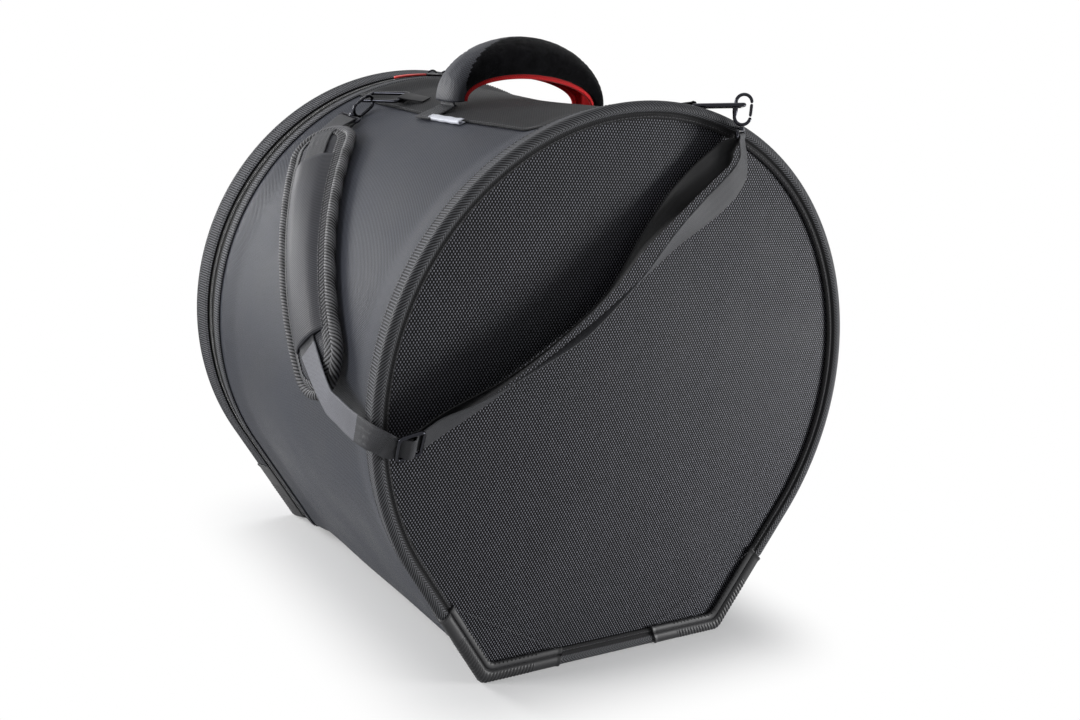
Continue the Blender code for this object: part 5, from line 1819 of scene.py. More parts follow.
@dataclass
class Pad:
    """Shoulder pad on the wall, with a corded edge and a plain sleeve over the strap."""

    wall: Wall
    arc: float = 0.200
    place: float = 0.339
    length: float = 0.340
    slope: float = math.radians(-45.1)
    half: float = 32 * MM
    edge: float = 6 * MM
    crown: float = 13 * MM
    tilt: float = 0.13
    lift: float = 1 * MM
    cord: float = 5.4 * MM
    rib_pitch: float = 4.2 * MM
    outline_step: float = 0.8 * MM
    swell: float = 1.0 * MM
    crease: float = 0.5 * MM
    held_end: float = 60 * MM
    cord_out: float = 1.6 * MM
    cord_rib: float = 0.5 * MM
    strip_rib: float = 0.3 * MM
    seam_share: float = 0.74
    seam_height: float = 1.9 * MM
    sleeve_share: float = 0.78
    sleeve_gap: float = 0.4 * MM
    sleeve_thickness: float = 1.1 * MM
    strap_room: float = 1.2 * MM
    strap_reach: float = 14.5 * MM
    sleeve: Pair = (0.165, 0.855)

    def at(self, share: float, across: float, height: float) -> Vector:
        """Point over the wall in the pad's lengthwise share and crosswise distance.

        Args:
            share: Share of the pad's length.
            across: Crosswise distance.
            height: Height over the wall.

        Returns:
            The point.
        """
        along = polar(self.slope)
        flat = along * (share * self.length) + Vector((-along.y, along.x)) * across
        stand = self.tilt * max(0.0, across + self.half)
        return self.wall.on_arc(self.arc + flat.x, self.place + flat.y, height + stand)

    def width(self, share: float) -> float:
        """Half width, with half-round ends.

        Args:
            share: Share of the pad's length.

        Returns:
            The half width.
        """
        from_end = min(share, 1 - share) * self.length
        reach = min(1.0, from_end / self.half)
        return self.half * math.sqrt(max(0.0, 1 - (1 - reach) ** 2))

    def top(self, share: float, across: float) -> float:
        """Height of the crowned face at a crosswise share."""
        ends = min(1.0, self.width(share) / self.half)
        return self.lift + self.edge + (self.crown - self.edge) * (1 - across**4) * ends

    def up(self, share: float) -> Vector:
        """Outwards direction over the pad's middle line."""
        return (self.at(share, 0.0, 10 * MM) - self.at(share, 0.0, 0.0)).normalized()

    def build_body(self) -> None:
        """Padded body."""
        shares = [0.004 + 0.992 * (1 - math.cos(math.pi * step / 72)) / 2 for step in range(73)]
        columns = [math.sin(math.pi / 2 * (step / 14 - 1)) for step in range(29)]
        rings = []
        for share in shares:
            half = self.width(share)
            upper = []
            for across in columns:
                fold = self.crease * noise.noise(Vector((share * 34.0, across * 2.0, 1.7))) * (1 - across**2)
                upper.append(self.at(share, half * across, self.top(share, across) + fold))
            lower = [self.at(share, half * across, self.lift) for across in reversed(columns)]
            rings.append(upper + lower)
        piece = swept("shoulder_pad_body", rings, False)
        ends = (self.at(0.0, 0.0, 0.0), self.at(1.0, 0.0, 0.0))

        def free(place: Vector) -> float:
            """How far a point may swell, held at both ends."""
            return min(1.0, min((place - end).length for end in ends) / self.held_end) * 0.5

        puffed(piece, free, self.swell)
        settle(piece, Body.BAG, "pad_nylon", [PALETTE.pad], "shoulder_pad")

    def outline(self, reach: float, step: float) -> list[Pair]:
        """Lengthwise and crosswise distances round the pad.

        Args:
            reach: Distance of the outline from the pad's middle line.
            step: Spacing of its points at the pad's edge.

        Returns:
            The outline, closed, with the same count for every reach.
        """
        bend = round(math.pi * self.half / step)
        straight = round((self.length - 2 * self.half) / step)
        points = []
        for side, centre in ((1, self.half), (-1, self.length - self.half)):
            for number in range(bend):
                turn = math.pi / 2 + math.pi * number / bend
                points.append((centre + side * reach * math.cos(turn), side * reach * math.sin(turn)))
            for number in range(straight):
                run = side * (self.length - 2 * self.half) * number / straight
                points.append((centre + run, -side * reach))
        return points

    def build_cord(self) -> None:
        """Corded edge: a thick roll of ribbed tape and the strip that folds over the pad's shoulder."""
        reach = self.half + self.cord_out
        height = self.lift + self.cord + self.cord_out
        loop = self.outline(reach, self.outline_step)
        points = [self.at(along / self.length, across, height) for along, across in loop]

        def ribs(run: float, turn: float) -> float:
            """Height of the cord's slanting ribs."""
            return -self.cord_rib * math.cos(math.tau * run / self.rib_pitch + 6 * turn)

        piece = wire("pad_cord", points, self.cord, True, 20, ribs)
        settle(piece, Body.BAG, "pad_piping", [PALETTE.cord], "pad_piping")
        profile = [(-11.0, 0.3), (-10.6, 1.2), (-8.6, 1.5), (-6.4, 1.6), (-4.2, 1.7), (-2.0, 1.9), (0.0, 2.2)]
        profile += [(0.4, 0.4), (-3.0, 0.2), (-7.0, 0.2)]
        loops = [self.outline(self.half + away * MM, self.outline_step) for away, _ in profile]
        sections = []
        for number in range(len(loops[0])):
            ring = []
            for index, (away, rise) in enumerate(profile):
                along, across = loops[index][number]
                share = min(0.999, max(0.001, along / self.length))
                wide = max(1 * MM, self.width(share))
                top = self.top(share, min(1.0, abs(across) / wide))
                run = number * (self.outline_step / MM) + away
                rib = self.strip_rib * math.cos(math.tau * run / (self.rib_pitch / MM))
                upper = rib if 1 <= index <= 5 else 0.0
                ring.append(self.at(along / self.length, across, top + rise * MM + upper))
            sections.append(ring)
        strip = swept("pad_edge_strip", sections, True)
        settle(strip, Body.BAG, "pad_piping", [PALETTE.cord])

    def build_sleeve(self) -> None:
        """Plain sleeve panel, which bridges over the strap."""
        shares = spaced(*self.sleeve, 56)
        columns = spaced(-self.sleeve_share, self.sleeve_share, 26)
        over = self.lift + self.crown + self.strap_room + STRAP_THICKNESS + self.sleeve_gap
        rings = []
        for share in shares:
            half = self.width(share)
            upper = []
            lower = []
            for across in columns:
                plain = self.top(share, across) + self.sleeve_gap
                past = abs(across) * half - self.strap_reach
                bridge = over - 0.3 * (past + math.hypot(past, 6 * MM)) + 1 * MM
                height = max(plain, bridge)
                upper.append(self.at(share, half * across, height + self.sleeve_thickness))
                lower.append(self.at(share, half * across, height))
            rings.append(upper + lower[::-1])
        piece = swept("pad_sleeve_panel", rings, False)
        settle(piece, Body.BAG, "pad_nylon", [PALETTE.pad], "pad_sleeve")
        ups = [self.up(share) for share in shares]
        for number, across in enumerate((-self.seam_share, self.seam_share)):
            path = []
            for share in shares:
                height = self.top(share, across) + self.seam_height
                path.append(self.at(share, self.width(share) * across, height))
            row = stitches(f"pad_stitches_{number + 1}", path, ups)
            settle(row, Body.BAG, "pad_nylon", [PALETTE.thread])

    def build(self) -> None:
        """Build the pad."""
        self.build_body()
        self.build_cord()
        self.build_sleeve()


Route = list[tuple[Triple, Triple]]

# Places and width directions of the strap, the same as the frame's
RIM_ROUTE: Route = [
    ((-0.2905, 0.0730, 0.2765), (0.00, -0.45, 0.89)),
    ((-0.2905, 0.0475, 0.2720), (0.00, -0.22, 0.98)),
    ((-0.2900, 0.0225, 0.2685), (0.05, -0.15, 0.98)),
    ((-0.2865, -0.0050, 0.2655), (0.10, -0.15, 0.98)),
    ((-0.2775, -0.0155, 0.2615), (0.00, -0.38, 0.92)),
]
OUTER_ROUTE: Route = [
    ((-0.2200, -0.0180, 0.2725), (-0.38, -0.52, 0.76)),
    ((-0.1950, -0.0235, 0.2860), (-0.41, -0.72, 0.56)),
    ((-0.1590, -0.0300, 0.3085), (-0.34, -0.86, 0.39)),
    ((-0.0920, -0.0330, 0.3490), (-0.18, -0.96, 0.23)),
    ((-0.0305, -0.0310, 0.3985), (-0.34, -0.82, 0.46)),
    ((0.0105, -0.0280, 0.4360), (-0.52, -0.53, 0.67)),
    ((0.0535, -0.0250, 0.4685), (-0.66, 0.00, 0.74)),
    ((0.0730, -0.0230, 0.4840), (-0.70, 0.00, 0.70)),
    ((0.0860, -0.0205, 0.4980), (-0.83, -0.20, 0.50)),
    ((0.0900, -0.0180, 0.5120), (-0.83, -0.50, 0.24)),
]
RETURN_ROUTE: Route = [
    ((0.0710, -0.0110, 0.5145), (-0.63, 0.10, 0.77)),
    ((0.0475, -0.0105, 0.4955), (-0.62, 0.25, 0.72)),
    ((0.0235, -0.0105, 0.4735), (-0.70, 0.10, 0.70)),
    ((0.0075, -0.0105, 0.4560), (-0.72, -0.18, 0.67)),
    ((-0.0150, -0.0110, 0.4315), (-0.69, -0.49, 0.53)),
    ((-0.0540, -0.0130, 0.3810), (-0.44, -0.76, 0.48)),
    ((-0.1110, -0.0140, 0.3360), (-0.33, -0.82, 0.47)),
    ((-0.1625, -0.0130, 0.3025), (-0.34, -0.75, 0.57)),
    ((-0.2100, -0.0110, 0.2790), (-0.31, -0.61, 0.73)),
    ((-0.2270, -0.0105, 0.2690), (-0.26, -0.55, 0.79)),
]


def opened(route: Route) -> tuple[Points, Points]:
    """Places and width directions of a route."""
    return [Vector(place) for place, _ in route], [Vector(way) for _, way in route]


def wrap(bar: Vector, outwards: Vector, onwards: Vector, angles: tuple[int, ...], radius: float) -> Points:
    """Points round a bar; angle 0 is outwards and 90 degrees is onwards."""
    turns = [math.radians(angle) for angle in angles]
    return [bar + (outwards * math.cos(turn) + onwards * math.sin(turn)) * radius for turn in turns]


@dataclass
class Strap:
    """Strap webbing: over the pad to the rim, and double across the front to its eye."""

    pad: Pad
    half: float = 12.5 * MM
    thickness: float = STRAP_THICKNESS
    eye_wire: float = 1.5 * MM
    glide_wire: float = 1.5 * MM
    glide_half: float = 12 * MM
    glide_centre: Triple = (-0.2518, -0.0175, 0.2562)
    glide_rise: float = math.radians(11.5)
    glide_lean: float = math.radians(30)
    front_eye: Triple = (0.086589, -0.013225, 0.532201)
    front_across: Triple = (-0.7952, -0.6063, 0.0)
    rear_eye: Triple = (-0.156381, 0.349892, 0.505851)
    rear_run: Triple = (-0.7886029, -0.1428569, -0.5980781)
    pale: float = 0.050
    pale_spans: int = 3
    steps: int = 6

    @property
    def eye_radius(self) -> float:
        """Radius of the strap's middle round an eye."""
        return self.eye_wire + CLEARANCE + self.thickness / 2

    def pad_route(self) -> tuple[Points, Points]:
        """Places and width directions from the rear eye through the pad's sleeve.

        Returns:
            The places and the directions.
        """
        pad = self.pad
        onwards = Vector(self.rear_run)
        along = (pad.wall.on_arc(*REAR_TIP) - pad.wall.on_arc(*REAR_FOOT)).normalized()
        across = (along - onwards * along.dot(onwards)).normalized()
        outwards = across.cross(onwards)
        if outwards.dot(pad.up(0.0)) < 0:
            outwards = -outwards
        loop = wrap(Vector(self.rear_eye), outwards, onwards, (180, 225, 270, 315, 360), self.eye_radius)
        centres = [loop[0] + onwards * (25 * MM / 3)] + loop
        height = 3 * CLEARANCE + self.thickness / 2
        sample = pad.at(0.0, -pad.half, height) - pad.at(0.0, pad.half, height)
        if across.dot(sample) < 0:
            across = -across
        ways = [across] * len(centres)
        for share in (0.02, 0.055, 0.11, 0.19, 0.27, 0.35, 0.43, 0.51, 0.59, 0.67, 0.75, 0.82, 0.88):
            centres.append(pad.at(share, 0.0, pad.top(share, 0.0) + height))
            ways.append((pad.at(share, -8 * MM, height) - pad.at(share, 8 * MM, height)).normalized())
        return centres, ways

    def glide(self) -> tuple[Points, Points, Vector]:
        """Outer and inner strap points round the tri-glide, and its width direction.

        Returns:
            The outer points, the inner points and the direction.
        """
        flat = Vector((math.cos(self.glide_rise), 0.0, math.sin(self.glide_rise)))
        up = Vector((-math.sin(self.glide_rise), 0.0, math.cos(self.glide_rise)))
        front = Vector((0.0, -1.0, 0.0))
        across = up * math.cos(self.glide_lean) + front * math.sin(self.glide_lean)
        face = front * math.cos(self.glide_lean) - up * math.sin(self.glide_lean)
        centre = Vector(self.glide_centre)
        close = self.glide_wire + CLEARANCE + self.thickness / 2
        over = close + self.thickness + CLEARANCE * 2
        low = -(self.glide_wire + CLEARANCE * 2 + self.thickness / 2)

        def at(along: float, height: float) -> Vector:
            """Point in the tri-glide's plane."""
            return centre + flat * along + face * height

        far = self.glide_half
        near = far - 2 * self.glide_wire - CLEARANCE
        arch = wrap(centre, face, flat, (-60, -30, 0, 30, 60), over)
        outer = [at(-far - 2 * self.thickness, low), at(-far, low), at(-near, low + CLEARANCE)] + arch
        outer += [at(near, low + CLEARANCE), at(far, low), at(far + 2 * self.thickness, low)]
        deep = low - self.thickness - 2 * CLEARANCE
        inner = [at(far * 2 / 3, deep), at(far / 3, deep + CLEARANCE)]
        inner += wrap(centre, face, flat, (150, 180, 225, 270, 315, 360), close)
        return outer, inner, across

    def build(self) -> None:
        """Outer strap from the rear eye over the rim to the front eye, and the inner strap back."""
        bar = Vector(self.front_eye)
        across = Vector(self.front_across).normalized()
        upwards = Vector((0.0, 0.0, 1.0))
        towards = across.cross(upwards)
        if towards.y > 0:
            towards = -towards
        rise = wrap(bar, towards, upwards, (0, 26, 52, 78), self.eye_radius)
        fall = wrap(bar, towards, upwards, (102, 128, 154, 180), self.eye_radius)
        outer, inner, wide = self.glide()
        places, turns = opened(RIM_ROUTE)
        front_places, front_turns = opened(OUTER_ROUTE)
        points, ways = self.pad_route()
        pale_start = len(points) * self.steps
        pale_end = pale_start + self.pale_spans * self.steps
        points += places + outer + front_places + [rise[0] - upwards * (4 * MM)] + rise
        ways += turns + [wide] * len(outer) + front_turns + [across] * 5
        spots, along_ways = hermite(points, ways, self.steps)
        runs = lengths(spots)

        def part(run: float, _width: float) -> int:
            """Pale ground along one length of the strap."""
            return int(runs[pale_start] - self.pale < run < runs[pale_end])

        piece = ribbon("strap_outer_run", spots, along_ways, self.half, self.thickness, None, part)
        finishes = [PALETTE.webbing, PALETTE.webbing_pale]
        settle(piece, Body.BAG, "webbing", finishes, "strap_pad_run", "strap_front_run")
        back_places, back_turns = opened(RETURN_ROUTE)
        points = fall + [fall[-1] - upwards * (5.4 * MM)] + back_places + inner
        ways = [across] * 5 + back_turns + [wide] * len(inner)
        spots, along_ways = hermite(points, ways, self.steps)
        piece = ribbon("strap_inner_run", spots, along_ways, self.half, self.thickness)
        # The inner run takes the near-black copy of the webbing: painted shade
        settle(piece, Body.BAG, "webbing", [PALETTE.webbing_painted_shade], "strap_return")


@dataclass
class Fittings:
    """Sewn tabs, zip pulls and the plated sliders, which keep the frame's own shapes."""

    nodes: dict[str, Piece]
    pull_length: float = 41 * MM
    pull_half: float = 4 * MM
    pull_thickness: float = 2.2 * MM
    pull_turn: float = 0.06639
    pull_radius: float = 0.27706
    grip: float = 0.22 * MM
    bridge_start: float = 3 * MM
    bridge_length: float = 12 * MM
    bridge_rise: float = 2.6 * MM
    bridge_base: float = 2.4 * MM
    bridge_wire: float = 1.1 * MM

    def over_zip(self, sign: int, turn: float, reach: float, across: float = 0.0) -> Vector:
        """Point at a turn from the rim's top, a reach from its centre and a place across the zip."""
        rise = reach * math.cos(turn)
        return Vector((-sign * reach * math.sin(turn), ZIP_LINE + across, RIM_RADIUS + rise))

    def build_pull(self, name: str, sign: int, body: Body) -> None:
        """Moulded zip pull with a raised rim and grip ribs.

        Args:
            name: left or right.
            sign: 1 on the -X side.
            body: Body that it rides on.
        """
        outline = [(-1.0, 0.0), (-0.92, 0.5), (-0.7, 0.5), (0.0, 0.36), (0.7, 0.5), (0.92, 0.5), (1.0, 0.0)]
        outline += [(0.92, -0.5), (-0.92, -0.5)]
        rings = []
        for share in spaced(0.0, 1.0, 48):
            waist = smooth_table(share, (0.0, 0.10, 0.25, 0.5, 0.93, 1.0), (0.5, 0.62, 0.85, 1.0, 0.98, 0.55))
            turn = self.pull_turn + share * self.pull_length / self.pull_radius
            grip = self.grip * max(0.0, math.cos(math.tau * share * 9)) if 0.55 < share < 0.9 else 0.0
            ring = []
            for across, height in outline:
                reach = self.pull_radius + height * self.pull_thickness + (grip if height > 0 else 0.0)
                ring.append(self.over_zip(sign, turn, reach, across * self.pull_half * waist))
            rings.append(ring)
        piece = swept(f"pull_{name}", rings, False)
        settle(piece, body, "pull_red", [PALETTE.pull], f"zip_pull_{name}")

    def build_bridge(self, name: str, sign: int, body: Body) -> None:
        """Plate a slider and give it a bridge for its pull.

        Args:
            name: left or right.
            sign: 1 on the -X side.
            body: Body that it rides on.
        """
        node = self.nodes[f"zip_slider_{name}"]
        node.data.materials.clear()
        node.data.materials.append(PALETTE.metal.material())
        points = []
        for share in spaced(0.0, 1.0, 24):
            turn = (self.bridge_start + share * self.bridge_length) / self.pull_radius
            reach = self.pull_radius + self.bridge_base + self.bridge_rise * math.sin(math.pi * share)
            points.append(self.over_zip(sign, turn, reach))
        bridge = wire(f"slider_bridge_{name}", points, tapered(25, self.bridge_wire), False, 12)
        settle(bridge, body, "black_metal", [PALETTE.metal])

    def tab(self, end: str) -> None:
        """Sewn webbing tab, a soft copy of the frame's solid.

        Args:
            end: front or rear.
        """
        node = f"strap_tab_{end}"
        bm = bmesh.new()
        bm.from_mesh(self.nodes[node].data)
        for layer in list(bm.loops.layers.uv):
            bm.loops.layers.uv.remove(layer)
        bmesh.ops.remove_doubles(bm, verts=bm.verts, dist=0.01 * MM)
        bmesh.ops.join_triangles(bm, faces=bm.faces, angle_face_threshold=0.3, angle_shape_threshold=1.0)
        piece = finished(f"tab_{end}", bm)
        soft = piece.modifiers.new("soft edges", "BEVEL")
        soft.width = 0.3 * MM
        soft.segments = 2
        settle(piece, Body.BAG, "webbing", [PALETTE.pad], node)

    def build(self) -> None:
        """Build the fittings."""
        self.build_pull("left", 1, Body.PULL_LEFT)
        self.build_pull("right", -1, Body.PULL_RIGHT)
        self.tab("front")
        self.tab("rear")
        self.build_bridge("left", 1, Body.SLIDER_LEFT)
        self.build_bridge("right", -1, Body.SLIDER_RIGHT)


@dataclass
class Ring:
    """Rounded wire ring from its foot bar to its tip bar."""

    name: str
    foot: Vector
    tip: Vector
    side: Vector
    wire: float = 2.05 * MM
    length: float = 48 * MM
    half: float = 13 * MM
    corner: float = 3.0 * MM

    @property
    def along(self) -> Vector:
        """Direction from foot to tip."""
        return (self.tip - self.foot).normalized()

    @property
    def across(self) -> Vector:
        """Direction of the bars."""
        return (self.side - self.along * self.side.dot(self.along)).normalized()

    def build(self) -> None:
        """Build the ring."""
        wide = self.across * self.half
        far = self.along * self.length
        corners = [self.foot - wide, self.foot + wide, self.foot + wide + far, self.foot - wide + far]
        piece = wire(f"ring_{self.name}", rounded_loop(corners, self.corner), self.wire, True, 20)
        settle(piece, Body.BAG, "black_metal", [PALETTE.metal], f"d_ring_{self.name}")


@dataclass
class SnapHook:
    """Cast snap hook: a bow that thickens down its back, a sprung gate, a swivel and an eye."""

    name: str
    bar: Vector
    run: Vector
    wide: Vector
    eye: Vector
    rise: float
    bodies: tuple[Body, Body]
    swell: float
    half: float = 7.5 * MM
    length: float = 28.5 * MM
    slack: float = 4.1 * MM
    gate_play: float = 0.7 * MM
    bow_wires: Triple = (1.5 * MM, 1.7 * MM, 1.6 * MM)
    gate_wire: float = 1.5 * MM
    eye_wire: float = 1.6 * MM
    eye_half: float = 15.4 * MM
    eye_drop: float = 5.4 * MM
    collar: float = 4.0 * MM
    knob_gap: float = 1.8 * MM

    def __post_init__(self) -> None:
        """Square the directions."""
        self.run = self.run.normalized()
        self.wide = (self.wide - self.run * self.wide.dot(self.run)).normalized()
        self.eye = (self.eye - self.run * self.eye.dot(self.run)).normalized()
        self.top = self.bar - self.run * (self.slack + self.rise)

    def at(self, wide: float, along: float) -> Vector:
        """Point of the bow's plane."""
        return self.top + self.wide * wide + self.run * along

    def build_bow(self) -> None:
        """The bow, whose back is its thickest part, and the gate."""
        straight = self.length - self.half
        nose, back, heel = self.bow_wires
        points = []
        for turn in spaced(0.0, math.pi, 24):
            points.append(self.at(self.half * math.cos(turn), self.half * (1 - math.sin(turn))))
        radii = spaced(nose, back, 24)
        for step in range(1, 10):
            points.append(self.at(-self.half, self.half + (straight - self.half) * step / 10))
            radii.append(back + self.swell * math.sin(math.pi * step / 10))
        for turn in spaced(math.pi, math.tau, 24):
            points.append(self.at(self.half * math.cos(turn), straight - self.half * math.sin(turn)))
        radii += spaced(back, heel, 24)
        for end in (0, -1):
            radii[end] *= 0.6
        bow = wire(f"hook_{self.name}", points, radii, False, 20)
        settle(bow, self.bodies[0], "black_metal", [PALETTE.metal], f"snap_hook_{self.name}")
        start = self.at(self.half, self.half + self.gate_play)
        end = self.at(self.half, straight - self.gate_play)
        path = [start.lerp(end, step / 20) for step in range(21)]
        gate = wire(f"gate_{self.name}", path, tapered(21, self.gate_wire), False, 16)
        settle(gate, self.bodies[1], "black_metal", [PALETTE.metal], f"hook_gate_{self.name}")

    def build_eye(self) -> None:
        """Swivel knob and the loop for the strap."""
        start = self.length + self.knob_gap
        neck = start + self.collar
        bottom = neck + self.eye_drop
        corners = []
        for wide, along in ((-1, neck), (1, neck), (1, bottom), (-1, bottom)):
            corners.append(self.top + self.eye * (wide * self.eye_half) + self.run * along)
        loop = wire(f"eye_{self.name}", rounded_loop(corners, self.eye_wire), self.eye_wire, True, 16)
        settle(loop, Body.BAG, "black_metal", [PALETTE.metal], f"swivel_eye_{self.name}")
        turned = in_mm([
            (0.0, 1.4), (0.3, 2.6), (0.9, 3.5), (1.8, 3.7), (2.7, 3.4), (3.4, 2.6), (3.9, 2.2), (4.6, 2.6),
            (5.0, 1.4),
        ])
        path = [self.top + self.run * (start + along) for along, _ in turned]
        knob = wire(f"swivel_{self.name}", path, [radius for _, radius in turned], False, 24)
        settle(knob, Body.BAG, "black_metal", [PALETTE.metal])

    def build(self) -> None:
        """Build the hook."""
        self.build_bow()
        self.build_eye()


@dataclass
class Glide:
    """Wire tri-glide on the strap."""

    strap: Strap
    wire: float = 1.9 * MM

    def build(self) -> None:
        """Build its frame and centre bar."""
        flat = Vector((math.cos(self.strap.glide_rise), 0.0, math.sin(self.strap.glide_rise)))
        across = self.strap.glide()[2]
        half = self.strap.half + 2 * CLEARANCE + self.strap.glide_wire
        centre = Vector(self.strap.glide_centre)
        corners = []
        for along, side in ((-1, -1), (1, -1), (1, 1), (-1, 1)):
            corners.append(centre + flat * (along * self.strap.glide_half) + across * (side * half))
        frame = wire("glide_frame", rounded_loop(corners, 2 * self.wire), self.wire, True, 20)
        settle(frame, Body.BAG, "black_metal", [PALETTE.metal], "tri_glide")
        path = [centre + across * (half * (step / 12 - 1)) for step in range(25)]
        bar = wire("glide_bar", path, self.strap.glide_wire, False, 16)
        settle(bar, Body.BAG, "black_metal", [PALETTE.metal])


@dataclass
class Hardware:
    """Rings, hooks and the tri-glide."""

    wall: Wall
    strap: Strap
    front_foot: Triple = (0.0520, 0.0200, 0.5565)
    front_tip: Triple = (0.0904, -0.0088, 0.5614)
    front_side: Triple = (0.640, 0.762, -0.080)
    front_bar: Triple = (0.0866, -0.0132, 0.5628)
    front_eye: Triple = (0.8, 0.61, 0.0)
    rear_share: float = 0.74
    rear_aim: Triple = (0.190, 0.347, 8.0 * MM)

    def build(self) -> None:
        """Build the plated hardware."""
        front = Ring("front", Vector(self.front_foot), Vector(self.front_tip), Vector(self.front_side))
        front.build()
        bar = Vector(self.front_bar)
        down = Vector((0.0, 0.0, -1.0))
        bodies = (Body.HOOK_FRONT, Body.GATE_FRONT)
        eye = Vector(self.front_eye)
        SnapHook("front", bar, down, front.along, eye, 5 * MM, bodies, 0.9 * MM).build()
        foot = self.wall.on_arc(*REAR_FOOT)
        tip = self.wall.on_arc(*REAR_TIP)
        normal = self.wall.rim.outwards(self.wall.rim.half + REAR_FOOT[0])
        rear = Ring("rear", foot, tip, normal.cross(tip - foot))
        rear.build()
        bar = foot + rear.along * (rear.length * self.rear_share) + rear.across * rear.half
        run = (self.wall.on_arc(*self.rear_aim) - bar).normalized()
        bodies = (Body.HOOK_REAR, Body.GATE_REAR)
        SnapHook("rear", bar, run, rear.along.cross(run), rear.along, 0.0, bodies, 0.2 * MM).build()
        Glide(self.strap).build()


@dataclass(frozen=True)
class Lamp:
    """A soft rectangular studio lamp."""

    name: str
    place: Triple
    aim: Triple
    size: Pair
    power: float


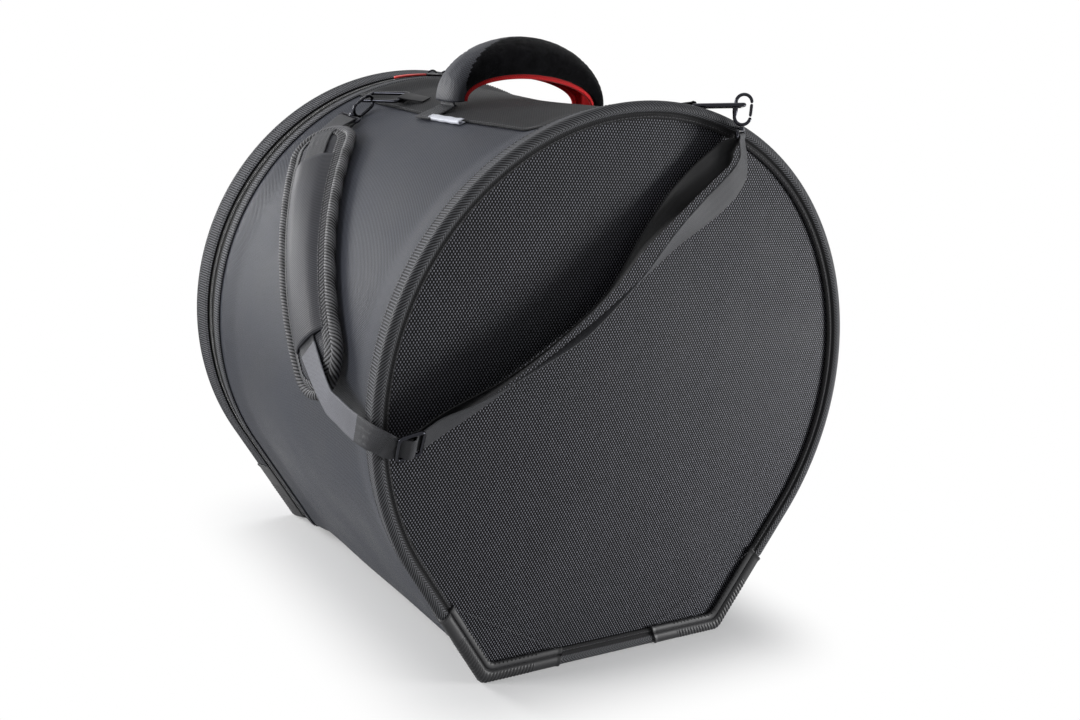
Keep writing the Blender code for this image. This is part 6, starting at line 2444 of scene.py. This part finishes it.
@dataclass
class Studio:
    """Floor, lamps, world and camera."""

    lamps: tuple[Lamp, ...] = (
        Lamp("key", (-2.4, 0.6, 0.8), (-0.1, 0.2, 0.35), (0.7, 0.7), 31.0),
        Lamp("back", (-1.25, 2.3, 0.85), (-0.2, 0.2, 0.35), (0.8, 0.7), 40.0),
        Lamp("front", (1.25, -0.85, 0.20), (0.1, 0.0, 0.3), (0.5, 0.4), 25.0),
        Lamp("top", (0.2, 0.7, 2.6), (0.0, 0.1, 0.0), (1.4, 1.4), 17.0),
    )
    world_strength: float = 0.25
    floor_white: float = 0.22
    base_middle: Triple = (0.0, 0.235, 0.0)
    base_half: Triple = (0.155, 0.235, 1.0)
    shadow_reach: Pair = (0.0, 0.14)
    floor_radius: float = 6.0
    floor_place: Triple = (0.0, 0.2, -0.3 * MM)
    lens: float = 41.797
    view_place: Triple = (-0.74168, -0.92970, 0.59790)
    view_right: Triple = (0.83688, -0.54106, 0.08296)
    view_up: Triple = (0.06327, 0.24614, 0.96717)
    view_ahead: Triple = (0.54371, 0.80416, -0.24022)

    def sight(self, tree: Tree) -> Socket:
        """One for the camera and for clear or mirrored sight, and nought for the rest.

        Args:
            tree: Nodes of the world or of a material.

        Returns:
            Socket with the number.
        """
        path = add_node(tree, "LightPath").outputs
        bent = {0: path["Is Glossy Ray"], 1: path["Is Transmission Ray"]}
        sharp = add_node(tree, "Math", bent, operation="MAXIMUM").outputs["Value"]
        seen = {0: path["Is Camera Ray"], 1: sharp}
        return add_node(tree, "Math", seen, operation="MAXIMUM").outputs["Value"]

    def white_to_camera(self, tree: Tree, plain: Socket, white: Socket, share: object = 1.0) -> Socket:
        """Show white to the camera and to clear or mirrored sight, and the plain shader to the rest.

        Args:
            tree: Nodes of the world or of the floor's material.
            plain: The plain shader.
            white: The white one.
            share: How much of the white is shown, as a value or a socket.

        Returns:
            The mixed shader.
        """
        part = add_node(tree, "Math", {0: self.sight(tree), 1: share}, operation="MULTIPLY")
        shaders = {"Fac": part.outputs["Value"], 1: plain, 2: white}
        return add_node(tree, "MixShader", shaders).outputs["Shader"]

    def build_world(self) -> None:
        """Even pale surroundings."""
        world = bpy.data.worlds.new("studio")
        bpy.context.scene.world = world
        world.use_nodes = True
        tree = world.node_tree
        plain = tree.nodes["Background"]
        feed(tree, plain, {"Color": linear("f4f6fa"), "Strength": self.world_strength})
        white = add_node(tree, "Background", {"Color": linear("ffffff"), "Strength": 1.0})
        shown = self.white_to_camera(tree, plain.outputs["Background"], white.outputs["Background"])
        feed(tree, tree.nodes["World Output"], {"Surface": shown})

    def build_floor(self) -> None:
        """White floor that keeps the bag's soft shadow."""
        bm = bmesh.new()
        bmesh.ops.create_circle(bm, cap_ends=True, segments=64, radius=self.floor_radius)
        floor = finished("floor", bm)
        floor.data.transform(Matrix.Translation(self.floor_place))
        material = bpy.data.materials.new("studio_floor")
        material.use_nodes = True
        tree = material.node_tree
        plain = tree.nodes["Principled BSDF"]
        tones = {"Factor": self.sight(tree), "A": linear("909090"), "B": linear("ffffff")}
        tone = add_node(tree, "Mix", tones, data_type="RGBA").outputs["Result"]
        feed(tree, plain, {"Base Color": tone, "Roughness": 0.9, "Specular IOR Level": 0.1})
        outside = add_node(tree, "TexCoord").outputs["Object"]
        nought = (0.0, 0.0, 0.0)
        sums = (("SUBTRACT", self.base_middle), ("ABSOLUTE", nought))
        sums += (("SUBTRACT", self.base_half), ("MAXIMUM", nought))
        for operation, amount in sums:
            terms = {0: outside, 1: amount}
            outside = add_node(tree, "VectorMath", terms, operation=operation).outputs["Vector"]
        away = add_node(tree, "VectorMath", {0: outside}, operation="LENGTH").outputs["Value"]
        start, end = self.shadow_reach
        reach = {"Value": away, "From Min": start, "From Max": end, "To Min": self.floor_white}
        fade = add_node(tree, "MapRange", reach, interpolation_type="SMOOTHSTEP").outputs["Result"]
        white = add_node(tree, "Emission", {"Color": linear("ffffff"), "Strength": 1.0})
        shown = self.white_to_camera(tree, plain.outputs["BSDF"], white.outputs["Emission"], fade)
        feed(tree, tree.nodes["Material Output"], {"Surface": shown})
        floor.data.materials.append(material)

    def build_lamps(self) -> None:
        """Soft lamps."""
        for lamp in self.lamps:
            data = bpy.data.lights.new(lamp.name, "AREA")
            data.shape = "RECTANGLE"
            data.size, data.size_y = lamp.size
            data.energy = lamp.power
            light = bpy.data.objects.new(lamp.name, data)
            light.location = lamp.place
            way = Vector(lamp.aim) - Vector(lamp.place)
            light.rotation_euler = way.to_track_quat("-Z", "Y").to_euler()
            bpy.context.scene.collection.objects.link(light)

    def build_camera(self) -> None:
        """Camera at the photograph's own angle."""
        data = bpy.data.cameras.new("camera")
        data.lens = self.lens
        data.sensor_width = 36.0
        data.sensor_fit = "HORIZONTAL"
        camera = bpy.data.objects.new("camera", data)
        turn = Matrix((Vector(self.view_right), Vector(self.view_up), -Vector(self.view_ahead))).transposed()
        camera.matrix_world = Matrix.Translation(self.view_place) @ turn.to_4x4()
        bpy.context.scene.collection.objects.link(camera)
        bpy.context.scene.camera = camera

    def build(self) -> None:
        """Build the studio."""
        bpy.context.scene.view_settings.view_transform = "Standard"
        self.build_camera()
        self.build_world()
        self.build_floor()
        self.build_lamps()


def main() -> None:
    """Build the bag's looks round the frame."""
    logging.basicConfig(level=logging.INFO, format="%(message)s")
    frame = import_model()
    Studio().build()
    rim = Rim()
    wall = Wall(rim)
    Shell(rim, wall).build()
    Trim(rim, wall).build()
    TopPanel(wall).build()
    Handle(wall).build()
    pad = Pad(wall)
    pad.build()
    strap = Strap(pad)
    strap.build()
    Fittings(frame["nodes"]).build()
    Hardware(wall, strap).build()


if __name__ == "__main__":
    main()
